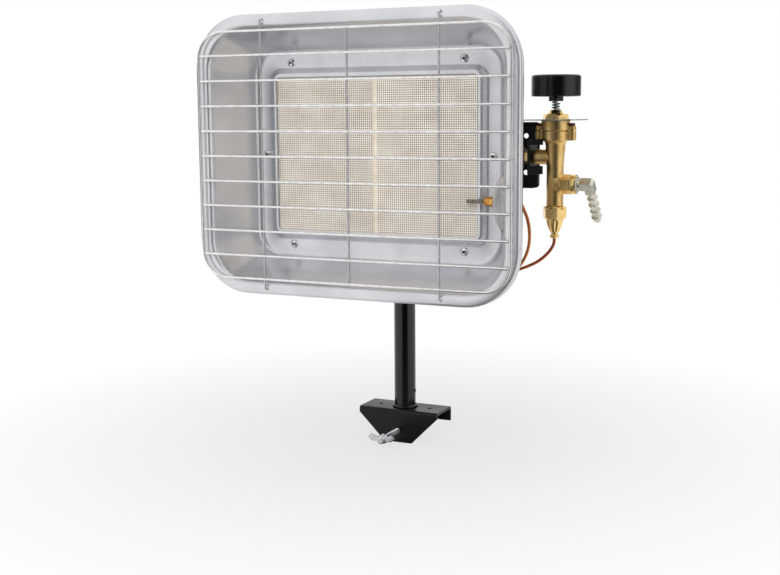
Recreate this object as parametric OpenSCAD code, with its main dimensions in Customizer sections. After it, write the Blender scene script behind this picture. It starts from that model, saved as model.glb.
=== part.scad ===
// Portable propane radiant heater that clamps on the collar of a gas cylinder.
// Millimetres, +Z up, the heater faces -Y. The origin is on the post's axis, at the
// underside of the clamp bracket's top plate, which rests on the collar.
// The head's own modules use a head frame: its origin is the centre of the reflector's
// rim plane, +X to the valve side, +Y away from the user and +Z up.

/* [Reflector pan] */
// Width over the rim
pan_w = 350; // [300:1:420]
// Height over the rim
pan_h = 280; // [235:1:340]
// Outer corner radius of the rim
pan_corner_r = 55; // [40:1:70]
// Rim plane to the ledge that carries the burner
pan_depth = 59; // [50:1:75]
// Width of the rim's face at the sides
rim_side = 15.5; // [12:0.5:20]
// Width of the rim's face at top and bottom
rim_end = 12.5; // [12:0.5:16]
// Depth of the rim's turned-back lip
lip_depth = 9; // [6:0.5:14]
// Sheet thickness of pan and burner housing
sheet_t = 1; // [0.8:0.1:1.2]

/* [Burner] */
// Width of the window that shows the plaques
window_w = 224; // [180:1:236]
// Height of the window
window_h = 158; // [125:1:166]
// How far the window's pressed rim stands out of the ledge
window_rim = 5; // [3:0.5:7]
// Flat width of the window's pressed rim
window_flat = 4; // [3:0.5:6]
// Thickness of the ceramic plaques
plaque_t = 13; // [10:0.5:16]
// Width of the seam strip between the two plaques
seam_w = 5; // [3:0.5:8]
// Thickness of the gaskets in front of and behind the plaques
gasket_t = 1.6; // [1:0.1:2.5]
// Depth of the gas chamber behind the plaques
chamber_depth = 26; // [25:0.5:35]
// Outer diameter of the mixer tube
mixer_d = 20; // [16:0.5:22]

/* [Guard grille] */
// Pitch of the cross wires
wire_pitch = 25; // [20:0.5:27]
// Diameter of the frame and cross wires
wire_d = 2.5; // [2:0.1:3]
// Diameter of the three uprights
upright_d = 2.2; // [1.8:0.1:2.8]
// Distance of the outer uprights from the middle
upright_x = 96; // [80:1:110]
// Corner radius of the frame wire
frame_r = 27; // [20:1:35]

/* [Gas valve] */
// How far the valve's axis lies outside the rim's edge
valve_out = 5.5; // [3:0.5:25]
// Diameter of the valve's waist
valve_waist_d = 16.4; // [15:0.2:19]
// Diameter of the valve's head
valve_head_d = 26; // [25:0.5:30]
// Diameter of the spindle
spindle_d = 4; // [3.5:0.1:6]
// Diameter of the knob
knob_d = 47.5; // [36:0.5:55]
// Height of the knob
knob_h = 20.5; // [16:0.5:24]
// How far the knob can be pressed
knob_travel = 5; // [3:0.5:7]
// Diameter of the copper thermocouple lead
lead_d = 3.2; // [2.4:0.1:3.2]

/* [Stand] */
// Height of the tilt pivot and of the head's centre above the collar
pivot_h = 277.5; // [240:0.5:360]
// Rim plane to the post's axis
rim_to_post = 126; // [122:1:140]
// Outer diameter of the post
post_d = 23; // [18:0.5:25]
// Wall thickness of the post
post_wall = 1.5; // [1.2:0.1:3]
// Diameter of the pivot bolt
pivot_d = 8; // [6:0.5:10]

/* [Clamp] */
// Length of the clamp bracket
clamp_l = 92; // [80:1:110]
// Depth of the clamp bracket, front to back
clamp_w = 40; // [36:0.5:50]
// Thickness of the clamp bracket's plate
clamp_t = 3; // [2:0.1:4]
// Height of the front plate over the bend
clamp_h = 36; // [32:0.5:45]
// Height of the back flange over the bend
clamp_back_h = 16; // [14:0.5:30]
// Distance between the two fixing holes
clamp_hole_pitch = 58; // [50:1:70]
// Diameter of the two fixing holes
clamp_hole_d = 4.5; // [3.5:0.5:6]
// Diameter of the clamp screw
screw_d = 6; // [5:0.5:8]

/* [Hidden] */
$fn = 64;

// Running clearance on the radius, and the overlap between joined shapes of one piece
fit = 0.05;
lap = 0.1;

// Head: positions along Y, from the rim plane backwards
ledge_y = pan_depth;
ledge_back = ledge_y + sheet_t;
window_y = ledge_y - window_rim;
plaque_y = window_y + sheet_t + gasket_t;
plaque_back = plaque_y + plaque_t;
seat_y = plaque_back + gasket_t;
chamber_back = seat_y + chamber_depth;
housing_back = chamber_back + sheet_t;

// Head: half sizes across X and Z
mouth_x = pan_w/2 - rim_side;
mouth_z = pan_h/2 - rim_end;
wall_run_x = 23.5;
wall_run_z = 22;
floor_x = mouth_x - wall_run_x;
floor_z = mouth_z - wall_run_z;
win_x = window_w/2;
win_z = window_h/2;
slope_w = 5;
ledge_x = win_x + window_flat + slope_w;
ledge_z = win_z + window_flat + slope_w;
plaque_lap = 2.3;
plaque_x = win_x + plaque_lap;
plaque_z = win_z + plaque_lap;
seat_w = plaque_lap + 4;
seat_x = plaque_x - seat_w;
seat_z = plaque_z - seat_w;
chamber_draft = 3.5;
chamber_x = seat_x - chamber_draft;
chamber_z = seat_z - chamber_draft;
flange_x = floor_x - 3;
flange_z = floor_z - 3;
burner_screw_x = floor_x - 39.5;
burner_screw_z = (ledge_z + floor_z)/2 - 2.8;
burner_screw_side = (ledge_x + floor_x)/2 - 1.9;
screw_hole_play = 0.4;
small_screw_d = 4;
burner_screw_at = [for (p = [[-1, 1], [1, 1], [-1, -1], [1, -1]])
    [p[0]*burner_screw_x, p[1]*burner_screw_z],
    [-burner_screw_side, 0], [burner_screw_side, 0]];
hook_z = pan_h/2 - rim_end/2;
hook_hole_d = upright_d + 2.6;

// Grille: the uprights lie just in front of the rim, the cross wires are welded on them
grille_gap = 1;
upright_y = -upright_d/2 - grille_gap;
rail_y = upright_y - (upright_d + wire_d)/2;
frame_x = mouth_x + 8.3;
frame_z = mouth_z - 4;
rail_count = 2*floor((frame_z - 12)/wire_pitch) + 1;
rail_z = [for (i = [0:rail_count - 1]) (i - (rail_count - 1)/2)*wire_pitch];
hook_reach = 3.6;
hook_l = 4;

// Gas line: mixer tube, jet and valve share one axis
line_z = -1;
valve_x = pan_w/2 + valve_out;
jet_web_x = valve_x - 23.5;
mixer_y = seat_y + sheet_t + 3 + mixer_d/2;
mixer_end_x = 34.5 - chamber_x;
mixer_mouth_x = jet_web_x - 9.5;
mixer_bell_l = 12;
mixer_bell_d = mixer_d + 4;
jet_thread_d = 9.8;
nozzle_d = 7;
outlet_x = valve_x - 20.5;
outlet_d = 14.6;
inlet_z = -27;
inlet_hex_x = valve_x + 17;

// Valve: heights of its joints, from the head's centre
body_top = 24;
seal_t = 0.4;
bonnet_z = body_top + seal_t;
bonnet_top = 34.2;
plate_t = 1;
gland_z = bonnet_top + plate_t;
gland_top = gland_z + 9;
body_foot = -48.3;
magnet_nut_h = 12.2;
cap_z = body_foot - magnet_nut_h;
cap_h = 13;
ferrule_z = cap_z - cap_h;
hub_h = 4.5;
hub_d = 14;
spring_d = 1.1;
spring_turns = 2.75;
coil_r = spindle_d/2 + 1.7;
spring_h = knob_travel + (spring_turns + 0.1)*spring_d;
hub_z = gland_top + spring_h;
knob_z = hub_z + hub_h;
lug_x = 16.3;
lug_d = 8.2;
lug_z = 15;
bonnet_lug_h = 4.6;
bonnet_recess = 2;
lug_screw_d = 3.2;
lug_screw_head_d = 6;
neck_d = 12;
neck_h = 4.4;
packing_d = 1.6;
packing_z = gland_z - 4;
packing_r = spindle_d/2 + fit + packing_d;
plug_top = 21.5;
plug_foot = -9;
plug_r_top = 6.5;
plug_r_foot = 5;
spindle_foot = -14;
magnet_top = -22;
magnet_d = 12;
pushrod_d = 3;
gas_bore_d = 4;

// Thermocouple: a level probe through the right wall of the pan
probe_y = 45;
probe_z = -42.7;
probe_d = 4;
boss_d = 18;
boss_x = mouth_x - 25;
boss_back = mouth_x - 12.8;
nut_l = 11.8;
nut_thread_d = 7.6;
locknut_l = 4;
probe_end = boss_back + locknut_l + 3;

// Valve mounting plate
mplate_t = 1.5;
mplate_y = housing_back;
mplate_top = 32.5;
mplate_foot = -32;
mplate_left = chamber_x - 44.5;
mplate_right = valve_x - 20.5;

// Stand
post_gap = 0.1;
washer_t = 1;
ear_t = 2;
ear_in = post_d/2 + washer_t + 2*post_gap;
ear_out = ear_in + ear_t;
ear_r = 14;
post_top = pivot_h + 12;
ring_d = post_d + 4.5;
set_screw_z = clamp_t + 18;
set_screw_d = 3;

// Clamp screw: it enters below the top plate and turns in a nut welded inside
clamp_screw_z = -20.5;
screw_nut_t = 5;
pad_t = 3;
pad_d = 14;
pad_face = -clamp_w/2 + 17;
pad_back = pad_face - pad_t;
hub_y = -clamp_w/2 - 39;
front_in = -clamp_w/2 + clamp_t;

// Route of the copper lead in the head frame: from the thermocouple, in one hairpin
// behind the pan, to the foot of the valve
lead_start = [[probe_end + 3*lap, probe_y, probe_z], [probe_end + 5, probe_y, probe_z]];
lead_mid = [[160.5, 48.5, -47], [163.5, 55, -60], [163.5, 61, -76], [159.5, 66, -92],
    [151, 69, -106], [138, 71, -116], [120, 71, -120], [102, 71, -120.5],
    [90, 73, -120.5], [83, 80, -120.5], [90, 87, -120.5], [104, 89, -119.5],
    [124, 89, -117.5], [142, 88, -113], [157, 87, -107]];
lead_end = [[valve_x - 13.5, mixer_y + 0.5, -101], [valve_x - 5.5, mixer_y, -93.5],
    [valve_x - 0.8, mixer_y, -86], [valve_x, mixer_y, ferrule_z - 5],
    [valve_x, mixer_y, cap_z - 5]];
lead_route = concat(lead_start, lead_mid, lead_end);

// ---- functions ----

function unit(v) = v/norm(v);
function turned(v) = [v[1], -v[0]];

// Points of a rounded rectangle in the XZ plane at depth s[3]; s = [half x, half z, r, y]
function ring(s, n) = [for (c = [0:3], i = [0:n])
    let (a = 90*c + 90*i/n,
         cx = (c == 0 || c == 3 ? 1 : -1)*(s[0] - s[2]),
         cz = (c < 2 ? 1 : -1)*(s[1] - s[2]))
    [cx + s[2]*cos(a), s[3], cz + s[2]*sin(a)]];

// Normal of a section of rings at ring i, towards the back of the sheet
function section_normal(p, i) =
    let (a = i > 0 ? unit([p[i][0] - p[i - 1][0], p[i][3] - p[i - 1][3]]) : [0, 0],
         b = i < len(p) - 1 ? unit([p[i + 1][0] - p[i][0], p[i + 1][3] - p[i][3]]) : [0, 0],
         m = unit(a + b))
    turned(m)/max(0.6, max(abs(m*a), abs(m*b)));

// The same section moved back by the sheet's thickness
function backed(p, t) = [for (i = [0:len(p) - 1]) let (d = t*section_normal(p, i))
    [p[i][0] + d[0], p[i][1] + d[0], max(0.6, p[i][2] + d[0]), p[i][3] + d[1]]];

function reversed(p) = [for (i = [len(p) - 1:-1:0]) p[i]];

// Points of a Catmull-Rom curve through the route p, n steps to a span
function curve_point(a, b, c, d, t) = 0.5*(2*b + (c - a)*t + (2*a - 5*b + 4*c - d)*t*t
    + (3*b - a - 3*c + d)*t*t*t);
function smooth(p, n) = concat([for (i = [0:len(p) - 2], k = [0:n - 1])
    curve_point(p[max(0, i - 1)], p[i], p[i + 1], p[min(len(p) - 1, i + 2)], k/n)],
    [p[len(p) - 1]]);

// Side directions carried along a path, each square to the path there
function tangent(p, i) = unit(p[min(len(p) - 1, i + 1)] - p[max(0, i - 1)]);
function squared(v, t) = unit(v - (v*t)*t);
function sides(p, v, i = 0) = i == len(p) ? [] :
    let (s = squared(v, tangent(p, i))) concat([s], sides(p, s, i + 1));

// ---- general shapes ----

module on_head() translate([0, -rim_to_post, pivot_h]) children();
module on_valve() on_head() translate([valve_x, mixer_y, 0]) children();
module on_gas_line() translate([0, mixer_y, line_z]) children();
module on_probe_line() translate([0, probe_y, probe_z]) children();
module on_inlet() on_valve() translate([inlet_hex_x - valve_x, 0, inlet_z]) children();
module on_pivot() translate([0, 0, pivot_h]) children();
module on_screw() translate([0, 0, clamp_screw_z]) children();

// Sheet or solid through a list of rings; closed joins the last ring to the first
module skin(p, closed = false, n = 8) {
    m = 4*(n + 1);
    rings = len(p);
    points = [for (s = p) each ring(s, n)];
    quads = [for (i = [0:rings - (closed ? 1 : 2)], j = [0:m - 1])
        let (a = i*m, b = ((i + 1) % rings)*m, k = (j + 1) % m) [b + j, b + k, a + k, a + j]];
    caps = closed ? [] : [[for (j = [0:m - 1]) j], [for (j = [m - 1:-1:0]) (rings - 1)*m + j]];
    polyhedron(points, concat(quads, caps), convexity = 10);
}

// Round tube swept along a path
module swept(p, r, first, sides_n = 8) {
    s = sides(p, first);
    points = [for (i = [0:len(p) - 1]) let (t = tangent(p, i), u = s[i], v = cross(t, u))
        each [for (k = [0:sides_n - 1]) p[i] + r*(cos(360*k/sides_n)*u + sin(360*k/sides_n)*v)]];
    walls = [for (i = [0:len(p) - 2], k = [0:sides_n - 1]) let (j = (k + 1) % sides_n)
        [(i + 1)*sides_n + k, (i + 1)*sides_n + j, i*sides_n + j, i*sides_n + k]];
    ends = [[for (k = [0:sides_n - 1]) k],
        [for (k = [sides_n - 1:-1:0]) (len(p) - 1)*sides_n + k]];
    polyhedron(points, concat(walls, ends), convexity = 10);
}

module rod_x(x1, x2, d) translate([x1, 0, 0]) rotate([0, 90, 0]) cylinder(h = x2 - x1, d = d);
module rod_y(y1, y2, d) translate([0, y1, 0]) rotate([-90, 0, 0]) cylinder(h = y2 - y1, d = d);
module rod_z(z1, z2, d) translate([0, 0, z1]) cylinder(h = z2 - z1, d = d);
module hex_x(x1, x2, flats)
    translate([x1, 0, 0]) rotate([0, 90, 0]) cylinder(h = x2 - x1, d = flats/cos(30), $fn = 6);
module hex_y(y1, y2, flats)
    translate([0, y1, 0]) rotate([-90, 0, 0]) cylinder(h = y2 - y1, d = flats/cos(30), $fn = 6);
module hex_z(z1, z2, flats)
    translate([0, 0, z1]) cylinder(h = z2 - z1, d = flats/cos(30), $fn = 6);
module box(low, high) translate(low) cube(high - low);

// Rounded rectangle plate in the XZ plane
module plate_y(hx, hz, r, y1, y2) translate([0, y2, 0]) rotate([90, 0, 0])
    linear_extrude(y2 - y1) rounded(hx, hz, r);
module rounded(hx, hz, r) {
    square([2*hx - 2*r, 2*hz], center = true);
    square([2*hx, 2*hz - 2*r], center = true);
    for (x = [-1, 1], z = [-1, 1]) translate([x*(hx - r), z*(hz - r)]) circle(r);
}

module at_burner_screws() for (p = burner_screw_at) translate([p[0], 0, p[1]]) children();

// Two wings on a hub, the wings lying along X and the hub along Y
module wings_y(span, height, t, depth) for (s = [-1, 1]) mirror([s < 0 ? 1 : 0, 0, 0])
    translate([0, depth/2, 0]) rotate([90, 0, 0]) linear_extrude(depth) polygon([
        [0, -t], [span/2 - height/2, -t*0.6], [span/2, t], [span/2 - t, height - t],
        [span/2 - height/2, height - t], [t, t]]);

// ---- reflector, burner and grille ----

pan_bend = 3;
pan_front = [
    [pan_w/2, pan_h/2, pan_corner_r, lip_depth],
    for (a = [0, 30, 60, 90]) let (i = pan_bend*(1 - cos(a)))
        [pan_w/2 - i, pan_h/2 - i, pan_corner_r - i, pan_bend*(1 - sin(a))],
    [mouth_x + 3, mouth_z + 3, 45, 0],
    [mouth_x + 1, mouth_z + 1, 43, 0.8],
    [mouth_x - 0.6, mouth_z - 0.6, 41.4, 3.2],
    [floor_x + 3.6, floor_z + 3.6, 29, ledge_y - 7],
    [floor_x + 1.2, floor_z + 1.2, 26.5, ledge_y - 2.6],
    [floor_x - 1.8, floor_z - 1.8, 24, ledge_y - 0.6],
    [floor_x - 5, floor_z - 5, 21, ledge_y],
    [ledge_x + 0.5, ledge_z + 0.5, 13, ledge_y],
    [ledge_x - 1, ledge_z - 1, 12, ledge_y - 0.5],
    [ledge_x - 4, ledge_z - 4, 9, window_y + 0.5],
    [ledge_x - 5.5, ledge_z - 5.5, 7.5, window_y],
    [win_x, win_z, 4, window_y]];

module reflector_pan() color("silver") on_head() difference() {
    union() {
        skin(concat(pan_front, reversed(backed(pan_front, sheet_t))), closed = true, n = 9);
        on_probe_line() rod_x(boss_x, boss_back, boss_d);
    }
    at_burner_screws() rod_y(ledge_y - 5, ledge_y + 5, small_screw_d + screw_hole_play);
    for (x = [-1, 1], z = [-1, 1]) translate([x*upright_x, 0, z*hook_z])
        rod_y(-5, 5, hook_hole_d);
    on_probe_line() rod_x(boss_x - 5, boss_back + 5, nut_thread_d + screw_hole_play);
}

// Loop of wire round the guard
module guard_frame() color("white") on_head() translate([0, rail_y, 0]) rotate([90, 0, 0]) {
    for (s = [-1, 1]) {
        translate([0, s*frame_z]) rotate([0, 90, 0])
            cylinder(h = 2*(frame_x - frame_r), d = wire_d, center = true, $fn = 24);
        translate([s*frame_x, 0]) rotate([90, 0, 0])
            cylinder(h = 2*(frame_z - frame_r), d = wire_d, center = true, $fn = 24);
    }
    for (c = [0:3]) translate([(c == 0 || c == 3 ? 1 : -1)*(frame_x - frame_r),
        (c < 2 ? 1 : -1)*(frame_z - frame_r)]) rotate(90*c)
        rotate_extrude(angle = 90) translate([frame_r, 0]) circle(d = wire_d, $fn = 24);
}

// Half of the clear width inside the loop at height z
function span_at(z) = let (rise = max(0, abs(z) + wire_d/2 - frame_z + frame_r))
    frame_x - frame_r + sqrt((frame_r - wire_d/2)^2 - rise^2);

// Cross wires, butted to the loop and welded to the uprights behind them
module guard_cross_wires() color("white") on_head() for (z = rail_z)
    translate([0, rail_y, z]) rod_x(-span_at(z), span_at(z), wire_d, $fn = 24);

// Outer upright: its ends turn back through the rim and hook behind it
module hooked_upright() {
    rod_z(-hook_z, hook_z, upright_d);
    for (s = [-1, 1]) mirror([0, 0, s < 0 ? 1 : 0]) translate([0, 0, hook_z]) {
        sphere(d = upright_d, $fn = 24);
        rod_y(0, sheet_t + hook_reach, upright_d);
        translate([0, sheet_t + hook_reach, 0]) {
            sphere(d = upright_d, $fn = 24);
            rod_z(0, hook_l, upright_d);
        }
    }
}

module guard_uprights() color("white") on_head() translate([0, upright_y, 0]) {
    for (x = [-upright_x, upright_x]) translate([x, 0, 0]) hooked_upright();
    rod_z(-frame_z, frame_z, upright_d);
}

module plaque(side) color("wheat") on_head() mirror([side < 0 ? 1 : 0, 0, 0])
    box([seam_w/2, plaque_y, -plaque_z], [plaque_x, plaque_back, plaque_z]);
module plaque_left() plaque(-1);
module plaque_right() plaque(1);

module plaque_seam() color("antiquewhite") on_head()
    box([-seam_w/2, plaque_y, -plaque_z], [seam_w/2, plaque_back, plaque_z]);

module front_gasket() color("ivory") on_head() difference() {
    plate_y(win_x + window_flat - 1.4, win_z + window_flat - 1.4, 5, window_y + sheet_t, plaque_y);
    plate_y(win_x + 0.3, win_z + 0.3, 3, window_y, plaque_y + 1);
}

module rear_gasket() color("ivory") on_head() difference() {
    plate_y(plaque_x, plaque_z, 4, plaque_back, seat_y);
    plate_y(seat_x + 0.5, seat_z + 0.5, 8, plaque_back - 1, seat_y + 1);
}

// Pressed housing: flange behind the pan's ledge, a step for the plaques, then the chamber
housing_wall_x = plaque_x + 0.8;
housing_wall_z = plaque_z + 0.8;
housing_front = [
    [flange_x, flange_z, 22, ledge_back],
    [housing_wall_x + 1.6, housing_wall_z + 1.6, 4, ledge_back],
    [housing_wall_x, housing_wall_z, 2.4, ledge_back + 1.6],
    [housing_wall_x, housing_wall_z, 2.4, seat_y],
    [seat_x + 1, seat_z + 1, 11, seat_y],
    [seat_x, seat_z, 12, seat_y + 1],
    [chamber_x, chamber_z, 14, chamber_back - 4],
    [chamber_x - 4, chamber_z - 4, 10, chamber_back]];
module burner_housing() color("darkgray") on_head() difference() {
    skin(concat(reversed(backed(housing_front, sheet_t)), housing_front), n = 6);
    at_burner_screws() rod_y(ledge_y, ledge_y + 6, small_screw_d + screw_hole_play);
    on_gas_line() rod_x(chamber_x - 20, chamber_x + 20, mixer_d + 2*fit);
}

// Perforated plate that spreads the gas, on four legs that stand on the chamber's floor
baffle_x = chamber_x - 10;
baffle_z = chamber_z - 10;
baffle_t = 0.8;
baffle_y = seat_y + 1.2;
baffle_hole_d = 7;
baffle_leg_w = 14;
module gas_baffle() color("gainsboro") on_head() {
    difference() {
        box([-baffle_x, baffle_y, -baffle_z], [baffle_x, baffle_y + baffle_t, baffle_z]);
        for (x = [-5:5], z = [-3:3]) if (abs(x) + abs(z) > 1)
            translate([x*baffle_x/5.8, 0, z*baffle_z/3.8])
                rod_y(baffle_y - 1, baffle_y + 2, baffle_hole_d);
    }
    for (x = [-1, 1], z = [-1, 1]) mirror([x < 0 ? 1 : 0, 0, 0]) mirror([0, 0, z < 0 ? 1 : 0])
        translate([baffle_x - baffle_t, baffle_y, baffle_z - baffle_leg_w - 8])
            cube([baffle_t, chamber_back - baffle_y, baffle_leg_w]);
}

// Mixer tube inside the chamber, its bell outside facing the jet
module mixer_bell(d) translate([mixer_mouth_x - mixer_bell_l, 0, 0]) rotate([0, 90, 0])
    cylinder(h = mixer_bell_l + fit, d1 = d, d2 = d + mixer_bell_d - mixer_d);
module mixer_tube() color("darkgray") on_head() on_gas_line() difference() {
    union() {
        rod_x(mixer_end_x, mixer_mouth_x, mixer_d);
        mixer_bell(mixer_d);
    }
    rod_x(mixer_end_x - 1, mixer_mouth_x + 1, mixer_d - 2*sheet_t);
    mixer_bell(mixer_d - 2*sheet_t);
}

// Brass injector: nozzle towards the mixer, hexagon, thread through bracket into the valve
module jet() color("goldenrod") on_head() on_gas_line() difference() {
    nozzle_x = jet_web_x - 12;
    hex_w = 5.6;
    thread_end = outlet_x + 11;
    union() {
        rod_x(nozzle_x, jet_web_x - hex_w + lap, nozzle_d);
        hex_x(jet_web_x - hex_w, jet_web_x, 13);
        rod_x(jet_web_x - lap, thread_end, jet_thread_d);
    }
    rod_x(nozzle_x - 1, nozzle_x + 4, 0.9);
    rod_x(nozzle_x + 3, thread_end + 1, gas_bore_d);
}

// Folded bracket that carries the jet; its front leaf is cut out round the valve's outlet
bracket_t = 2;
bracket_leaf = 15.5;
bracket_front = mixer_y - 15;
bracket_top = line_z + 15;
bracket_foot = line_z - 16;
module jet_bracket() color("#202020") on_head() difference() {
    union() {
        box([jet_web_x, bracket_front, bracket_foot], [jet_web_x + bracket_t, mplate_y, bracket_top]);
        box([jet_web_x, bracket_front, bracket_foot],
            [jet_web_x + bracket_leaf, bracket_front + bracket_t, bracket_top + 2.5]);
    }
    on_gas_line() rod_x(jet_web_x - 1, jet_web_x + 3, jet_thread_d + 2*fit);
    box([jet_web_x + bracket_t + 0.5, bracket_front - 1, line_z - 8],
        [jet_web_x + 20, bracket_front + 3, line_z + 12]);
}

// Tray that carries bracket and valve: a plate with lips turned forward at three edges, the
// end lip notched for the bracket
module at_mount_screws() for (z = [-1, 1]) translate([mplate_left + 12, 0, z*18]) children();
module valve_mount_plate() color("#181818") on_head() difference() {
    lip = 8;
    end_lip = 4.5;
    corner = 4;
    lip_left = chamber_x + 8.5;
    inner_x = mplate_right - corner;
    union() {
        box([mplate_left, mplate_y, mplate_foot], [inner_x, mplate_y + mplate_t, mplate_top]);
        box([mplate_left, mplate_y, mplate_foot + corner],
            [mplate_right, mplate_y + mplate_t, mplate_top - corner]);
        for (z = [mplate_foot + corner, mplate_top - corner]) translate([inner_x, 0, z])
            rod_y(mplate_y, mplate_y + mplate_t, 2*corner);
        for (z = [mplate_foot, mplate_top - mplate_t])
            box([lip_left, mplate_y - lip, z], [inner_x, mplate_y + lap, z + mplate_t]);
        box([mplate_right - mplate_t, mplate_y - end_lip, mplate_foot + corner],
            [mplate_right, mplate_y + lap, mplate_top - corner]);
    }
    box([jet_web_x - 1, mplate_y - 2*end_lip, bracket_foot - 1],
        [jet_web_x + bracket_t + 5, mplate_y, bracket_top + 1]);
    for (z = [19, -17]) translate([valve_x - 34.5, 0, z]) rod_y(mplate_y - 1, mplate_y + 3, 5);
    at_mount_screws() rod_y(mplate_y - 1, mplate_y + 3, small_screw_d + screw_hole_play);
}

// Screw with a domed head, along +Y from its seat at y = 0
module pan_screw(d, l) difference() {
    head_h = 0.65*d;
    dome_d = 2.6*d;
    union() {
        rod_y(-lap, l, d);
        intersection() {
            rod_y(-head_h, 0, 2.3*d);
            translate([0, dome_d/2 - 0.7*d, 0]) sphere(d = dome_d);
        }
    }
    hex_y(-head_h - 1, -0.4*head_h, 0.65*d);
}

module mount_plate_screws() color("silver") on_head() at_mount_screws()
    translate([0, mplate_y + mplate_t, 0]) mirror([0, 1, 0]) pan_screw(small_screw_d, mplate_t);

module burner_screws() color("silver") on_head() at_burner_screws()
    translate([0, ledge_y, 0]) pan_screw(small_screw_d, 7);

module burner_nuts() color("silver") on_head() at_burner_screws() difference() {
    hex_y(ledge_back + sheet_t, ledge_back + sheet_t + 3.2, 1.75*small_screw_d);
    rod_y(ledge_back, ledge_back + 6, small_screw_d + 2*fit);
}

// ---- thermocouple ----

module thermocouple_probe() color("gray") on_head() on_probe_line() {
    tip_x = boss_x - 28.5;
    collar = 3;
    rod_x(tip_x, probe_end - collar + lap, probe_d);
    translate([tip_x, 0, 0]) sphere(d = probe_d);
    rod_x(probe_end - collar, probe_end, probe_d + 1);
}

module thermocouple_nut() color("goldenrod") on_head() on_probe_line() difference() {
    nose_d = 8.4;
    nose_h = 1.8;
    hex_l = 7;
    union() {
        hex_x(boss_x - hex_l, boss_x, 8.7);
        translate([boss_x - nut_l, 0, 0]) rotate([0, 90, 0]) cylinder(h = nose_h, d1 = nose_d - 3, d2 = nose_d);
        rod_x(boss_x - nut_l + nose_h - lap, boss_x - hex_l + lap, nose_d);
        rod_x(boss_x - lap, boss_back + locknut_l, nut_thread_d);
    }
    rod_x(boss_x - 12, boss_back + 12, probe_d + 2*fit);
}

module thermocouple_locknut() color("goldenrod") on_head() on_probe_line() difference() {
    hex_x(boss_back, boss_back + locknut_l, 12);
    rod_x(boss_back - 1, boss_back + 12, nut_thread_d + 2*fit);
}

module thermocouple_lead() color("peru") on_head()
    swept(smooth(lead_route, 3), lead_d/2, [0, 1, 0]);

// ---- gas valve ----

// The two ears of a valve casting, joined across the middle
module at_lugs() for (s = [-1, 1]) translate([s*lug_x, 0, 0]) children();
module lugs(z1, z2, d) {
    at_lugs() rod_z(z1, z2, d);
    box([-lug_x, 0.5 - d/2, z1], [lug_x, d/2 - 0.5, z2]);
}

module valve_body() color("darkgoldenrod") on_valve() difference() {
    waist = valve_waist_d/2;
    plug_bore = plug_r_foot + 2*fit;
    outlet = outlet_x - valve_x;
    inlet = inlet_hex_x - valve_x;
    union() {
        rotate_extrude() polygon([[0, body_foot], [waist, body_foot], [waist, -9],
            [waist + 1.4, 11], [waist + 2.2, 13.5], [valve_head_d/2, lug_z],
            [valve_head_d/2, body_top], [0, body_top]]);
        lugs(lug_z, body_top, lug_d);
        translate([0, 0, line_z]) rod_x(outlet, 0, outlet_d);
        translate([0, 0, inlet_z]) {
            hex_x(0, inlet, 17);
            rod_x(0, inlet - 10, 19);
        }
    }
    rotate_extrude() polygon([[0, plug_foot - 3], [plug_bore, plug_foot - 3],
        [plug_bore, plug_foot - 0.2], [plug_r_top + 2*fit, plug_top],
        [plug_r_top + 2*fit, body_top + 1], [0, body_top + 1]]);
    rod_z(magnet_top, plug_foot, pushrod_d + 3);
    rod_z(body_foot - 1, magnet_top + 2, magnet_d + 2*fit);
    translate([0, 0, line_z]) rod_x(outlet - 1, outlet + 11.3, jet_thread_d + 2*fit);
    translate([0, 0, line_z]) rod_x(outlet, 0, gas_bore_d);
    translate([0, 0, inlet_z]) rod_x(0, inlet + 1, 8);
    at_lugs() rod_z(lug_z - 5, body_top + 1, lug_screw_d + 2*fit);
}

module bonnet_seal() color("#303030") on_valve() difference() {
    rod_z(body_top, bonnet_z, valve_head_d - 0.6);
    rod_z(body_top - 1, bonnet_z + 1, 2*plug_r_top + 4);
}

module valve_bonnet() color("darkgoldenrod") on_valve() difference() {
    lug_top = bonnet_z + bonnet_lug_h;
    union() {
        rod_z(bonnet_z, bonnet_top, valve_head_d + 1.6);
        lugs(bonnet_z, lug_top, lug_d - 0.4);
        rod_z(bonnet_top - lap, gland_z + neck_h, neck_d);
    }
    rod_z(bonnet_z - 1, bonnet_z + bonnet_recess, 2*plug_r_top);
    rod_z(bonnet_z - 1, packing_z + 1, spindle_d + 2*fit);
    rod_z(packing_z, gland_z + neck_h + 1, 2*packing_r + 2*fit);
    at_lugs() rod_z(bonnet_z - 1, lug_top + 1, lug_screw_d + 2*fit);
    at_lugs() rod_z(lug_top, bonnet_top + 1, lug_screw_head_d + 0.6);
}

module bonnet_screws() color("#6a3a28") on_valve() at_lugs()
    translate([0, 0, bonnet_z + bonnet_lug_h]) difference() {
        head_h = 2.6;
        union() {
            rod_z(-13.6, lap, lug_screw_d);
            rod_z(0, head_h, lug_screw_head_d);
        }
        box([-4, -0.5, head_h - 1], [4, 0.5, head_h + 1]);
    }

// Thin plate held between bonnet and gland nut
module control_plate() color("gainsboro") on_valve() difference() {
    translate([0, 0, bonnet_top]) linear_extrude(plate_t) translate([-3, 0]) rounded(30, 25, 10);
    rod_z(bonnet_top - 1, gland_z + 1, neck_d + 2*fit);
}

module gland_nut() color("goldenrod") on_valve() difference() {
    hex_top = gland_z + 5;
    flats = 22.5;
    union() {
        intersection() {
            hex_z(gland_z, hex_top, flats);
            translate([0, 0, gland_z]) cylinder(h = hex_top - gland_z, d1 = flats + 8, d2 = flats);
        }
        translate([0, 0, hex_top - lap]) cylinder(h = gland_top - hex_top + lap, d1 = 15, d2 = 10.5);
    }
    rod_z(gland_z - 1, gland_z + neck_h + fit, neck_d + 2*fit);
    rod_z(gland_z, gland_top + 1, spindle_d + 2*fit);
}

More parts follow.
